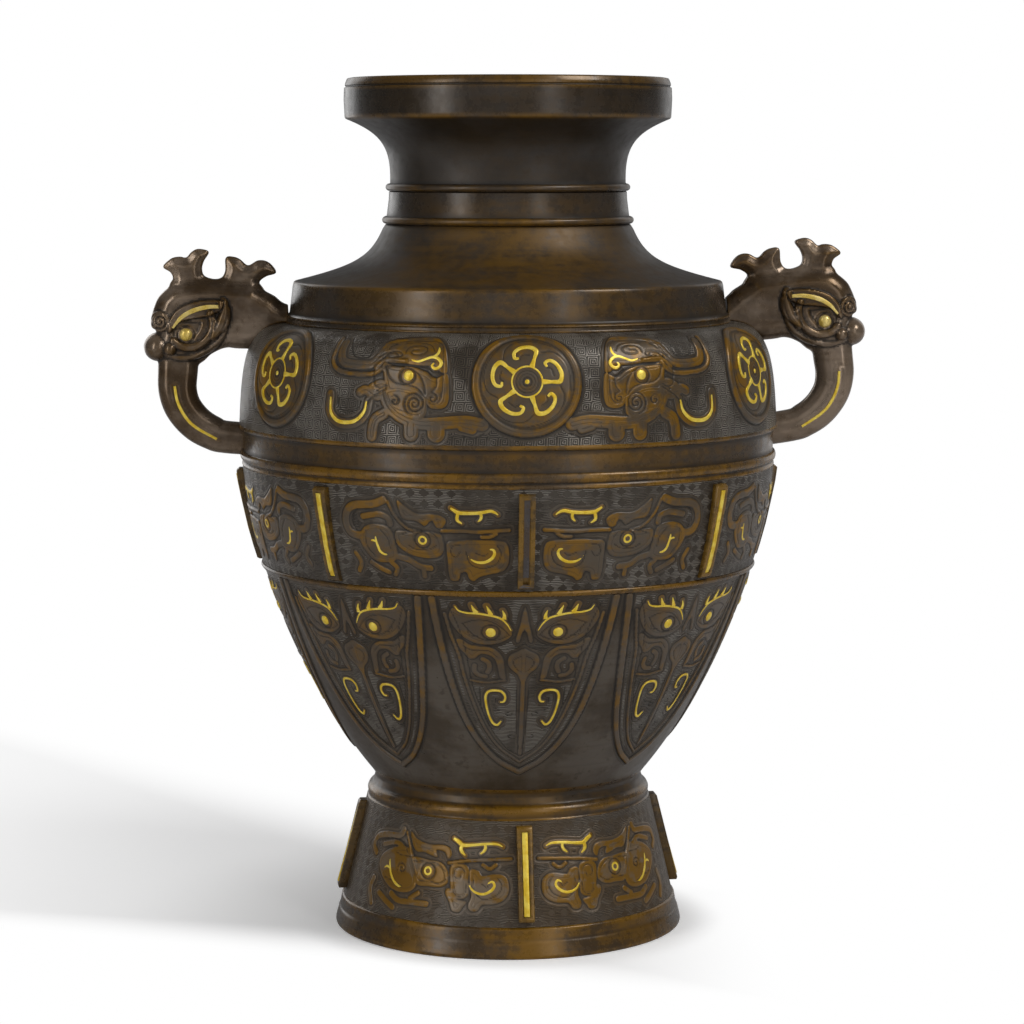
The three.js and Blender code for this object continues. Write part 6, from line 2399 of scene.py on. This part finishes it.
class Studio:
    """The white table, its lights and the camera.

    Attributes:
        HALF_TABLE: Half the width of the table top.
        TABLE_Z: Height of the table top.
        LENS: Focal length, on a film of FILM.
        CAMERA_AT: Where the camera stands.
        CAMERA_TURN: Its turns about X, Y and Z, in degrees.
        LIGHTS: The lights.
    """

    HALF_TABLE, TABLE_Z = 2600.0, -0.05
    LENS, FILM = 110.74, 36.0
    CAMERA_AT = (-98.80, -1477.12, 364.17)
    CAMERA_TURN = (83.5, 0.0, -3.9)

    LIGHTS = (
        Softbox("left_box", -50.0, 600.0, 1500.0, 320.0, 1500.0, 4.3),
        Softbox("right_box", 26.0, 600.0, 1500.0, 300.0, 1500.0, 2.2),
        Softbox("key", 58.0, 1750.0, 1500.0, 750.0, 750.0, 10.0),
        Softbox("front", -6.0, 700.0, 1700.0, 900.0, 900.0, 0.42),
        Softbox("far_left", -150.0, 500.0, 1700.0, 900.0, 1400.0, 1.4),
        Softbox("far_right", 145.0, 500.0, 1700.0, 900.0, 1400.0, 0.6),
    )

    def table(self) -> bpy.types.Object:
        """The white table top.

        Returns:
            The table.
        """
        half = self.HALF_TABLE * MM
        corners = [(x * half, y * half, self.TABLE_Z * MM) for x, y in ((-1, -1), (1, -1), (1, 1), (-1, 1))]
        mesh = bpy.data.meshes.new("table")
        mesh.from_pydata(corners, [], [(0, 1, 2, 3)])
        material = bpy.data.materials.new("table_white")
        w = blank(material)
        path = w.node("ShaderNodeLightPath")
        place = w.node("ShaderNodeTexCoord").outputs["Object"]
        grain = w.noise(place, 3.0, 2.0)
        tone = w.blend(w.spread(grain, 0.3, 0.7), (0.93, 0.93, 0.93), (0.97, 0.97, 0.97))
        shown = w.node("ShaderNodeBsdfDiffuse", {"Color": tone})
        away = w.node("ShaderNodeVectorMath", {0: place}, operation="LENGTH").outputs["Value"]
        # Painted contact shade: the floor glows less within about 80 mm of the axis, so it is darker round
        # the foot.
        painted_glow_strength = w.spread(away, 0.08, 0.2, (0.2, 0.38))
        painted_glow = w.node("ShaderNodeEmission", {"Color": (1, 1, 1, 1), "Strength": painted_glow_strength})
        near = w.node("ShaderNodeAddShader", {0: shown.outputs[0], 1: painted_glow.outputs[0]})
        white = w.node("ShaderNodeEmission", {"Color": (1, 1, 1, 1), "Strength": 1.0})
        split = w.node("ShaderNodeSeparateXYZ", {0: place})
        x, y = split.outputs[0], split.outputs[1]
        behind = w.plus(y, w.times(x, 1.2))
        before = w.plus(y, w.times(x, 0.46))
        # Painted light: outside a patch to the left of the foot and a narrow ring round it, the floor is
        # painted pure white, which hides the lamps' shadow there.
        beyond = w.math("MAXIMUM", w.spread(x, 0.0, 0.12), w.spread(behind, 0.03, 0.19))
        beyond = w.math("MAXIMUM", beyond, w.spread(before, -0.05, -0.115))
        beyond = w.math("MAXIMUM", beyond, w.spread(x, -0.06, -0.38, (0.0, 0.75)))
        beyond = w.math("MAXIMUM", beyond, w.spread(x, -0.45, -1.0))
        bare = w.times(beyond, w.spread(away, 0.08, 0.105))
        seen = w.node("ShaderNodeMixShader", {0: bare, 1: near.outputs[0], 2: white.outputs[0]})
        unseen = w.node("ShaderNodeBsdfDiffuse", {"Color": (0.75, 0.75, 0.76, 1)})
        faces = {0: path.outputs["Is Camera Ray"], 1: unseen.outputs[0], 2: seen.outputs[0]}
        both = w.node("ShaderNodeMixShader", faces)
        w.node("ShaderNodeOutputMaterial", {0: both.outputs[0]})
        mesh.materials.append(material)
        obj = set_out("table", mesh)
        return obj

    def world(self) -> None:
        """Surroundings that are white to the camera and grey to everything else."""
        world = bpy.data.worlds.new("studio")
        bpy.context.scene.world = world
        w = blank(world)
        path = w.node("ShaderNodeLightPath")
        tone = w.blend(path.outputs["Is Camera Ray"], (0.12, 0.12, 0.122), (1.0, 1.0, 1.0))
        back = w.node("ShaderNodeBackground", {"Color": tone, "Strength": 1.0})
        w.node("ShaderNodeOutputWorld", {0: back.outputs[0]})

    def camera(self) -> None:
        """The camera, as the photograph was taken."""
        data = bpy.data.cameras.new("camera")
        data.lens, data.sensor_width = self.LENS, self.FILM
        data.clip_start, data.clip_end = 0.05, 20.0
        obj = set_out("camera", data)
        obj.location = Vector(self.CAMERA_AT) * MM
        obj.rotation_euler = Euler([math.radians(turn) for turn in self.CAMERA_TURN])
        bpy.context.scene.camera = obj

    def build(self) -> None:
        """Sets up the whole studio."""
        self.table()
        self.world()
        for light in self.LIGHTS:
            light.build()
        self.camera()


def main() -> None:
    """Builds the vase and its studio."""
    logging.basicConfig(level=logging.INFO, format="%(message)s")
    bpy.context.scene.view_settings.view_transform = "Standard"
    shop, total = Workshop(), 0
    sections = (Shoulder(), Belly(), FootRing(), PlainRings(), Bars(), Handle("right", 4.0, False),
                Handle("left", 0.0, True))
    for section in sections:
        for piece in section.build(shop):
            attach(piece, BODY)
            piece.data.calc_loop_triangles()
            total += len(piece.data.loop_triangles)
            LOG.info("%s: %d triangles", piece.name, len(piece.data.loop_triangles))
    LOG.info("total: %d triangles", total)
    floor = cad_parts["floor_plate"].data.materials
    floor.clear()
    floor.append(shop.palette.plain)
    Studio().build()


if __name__ == "__main__":
    main()
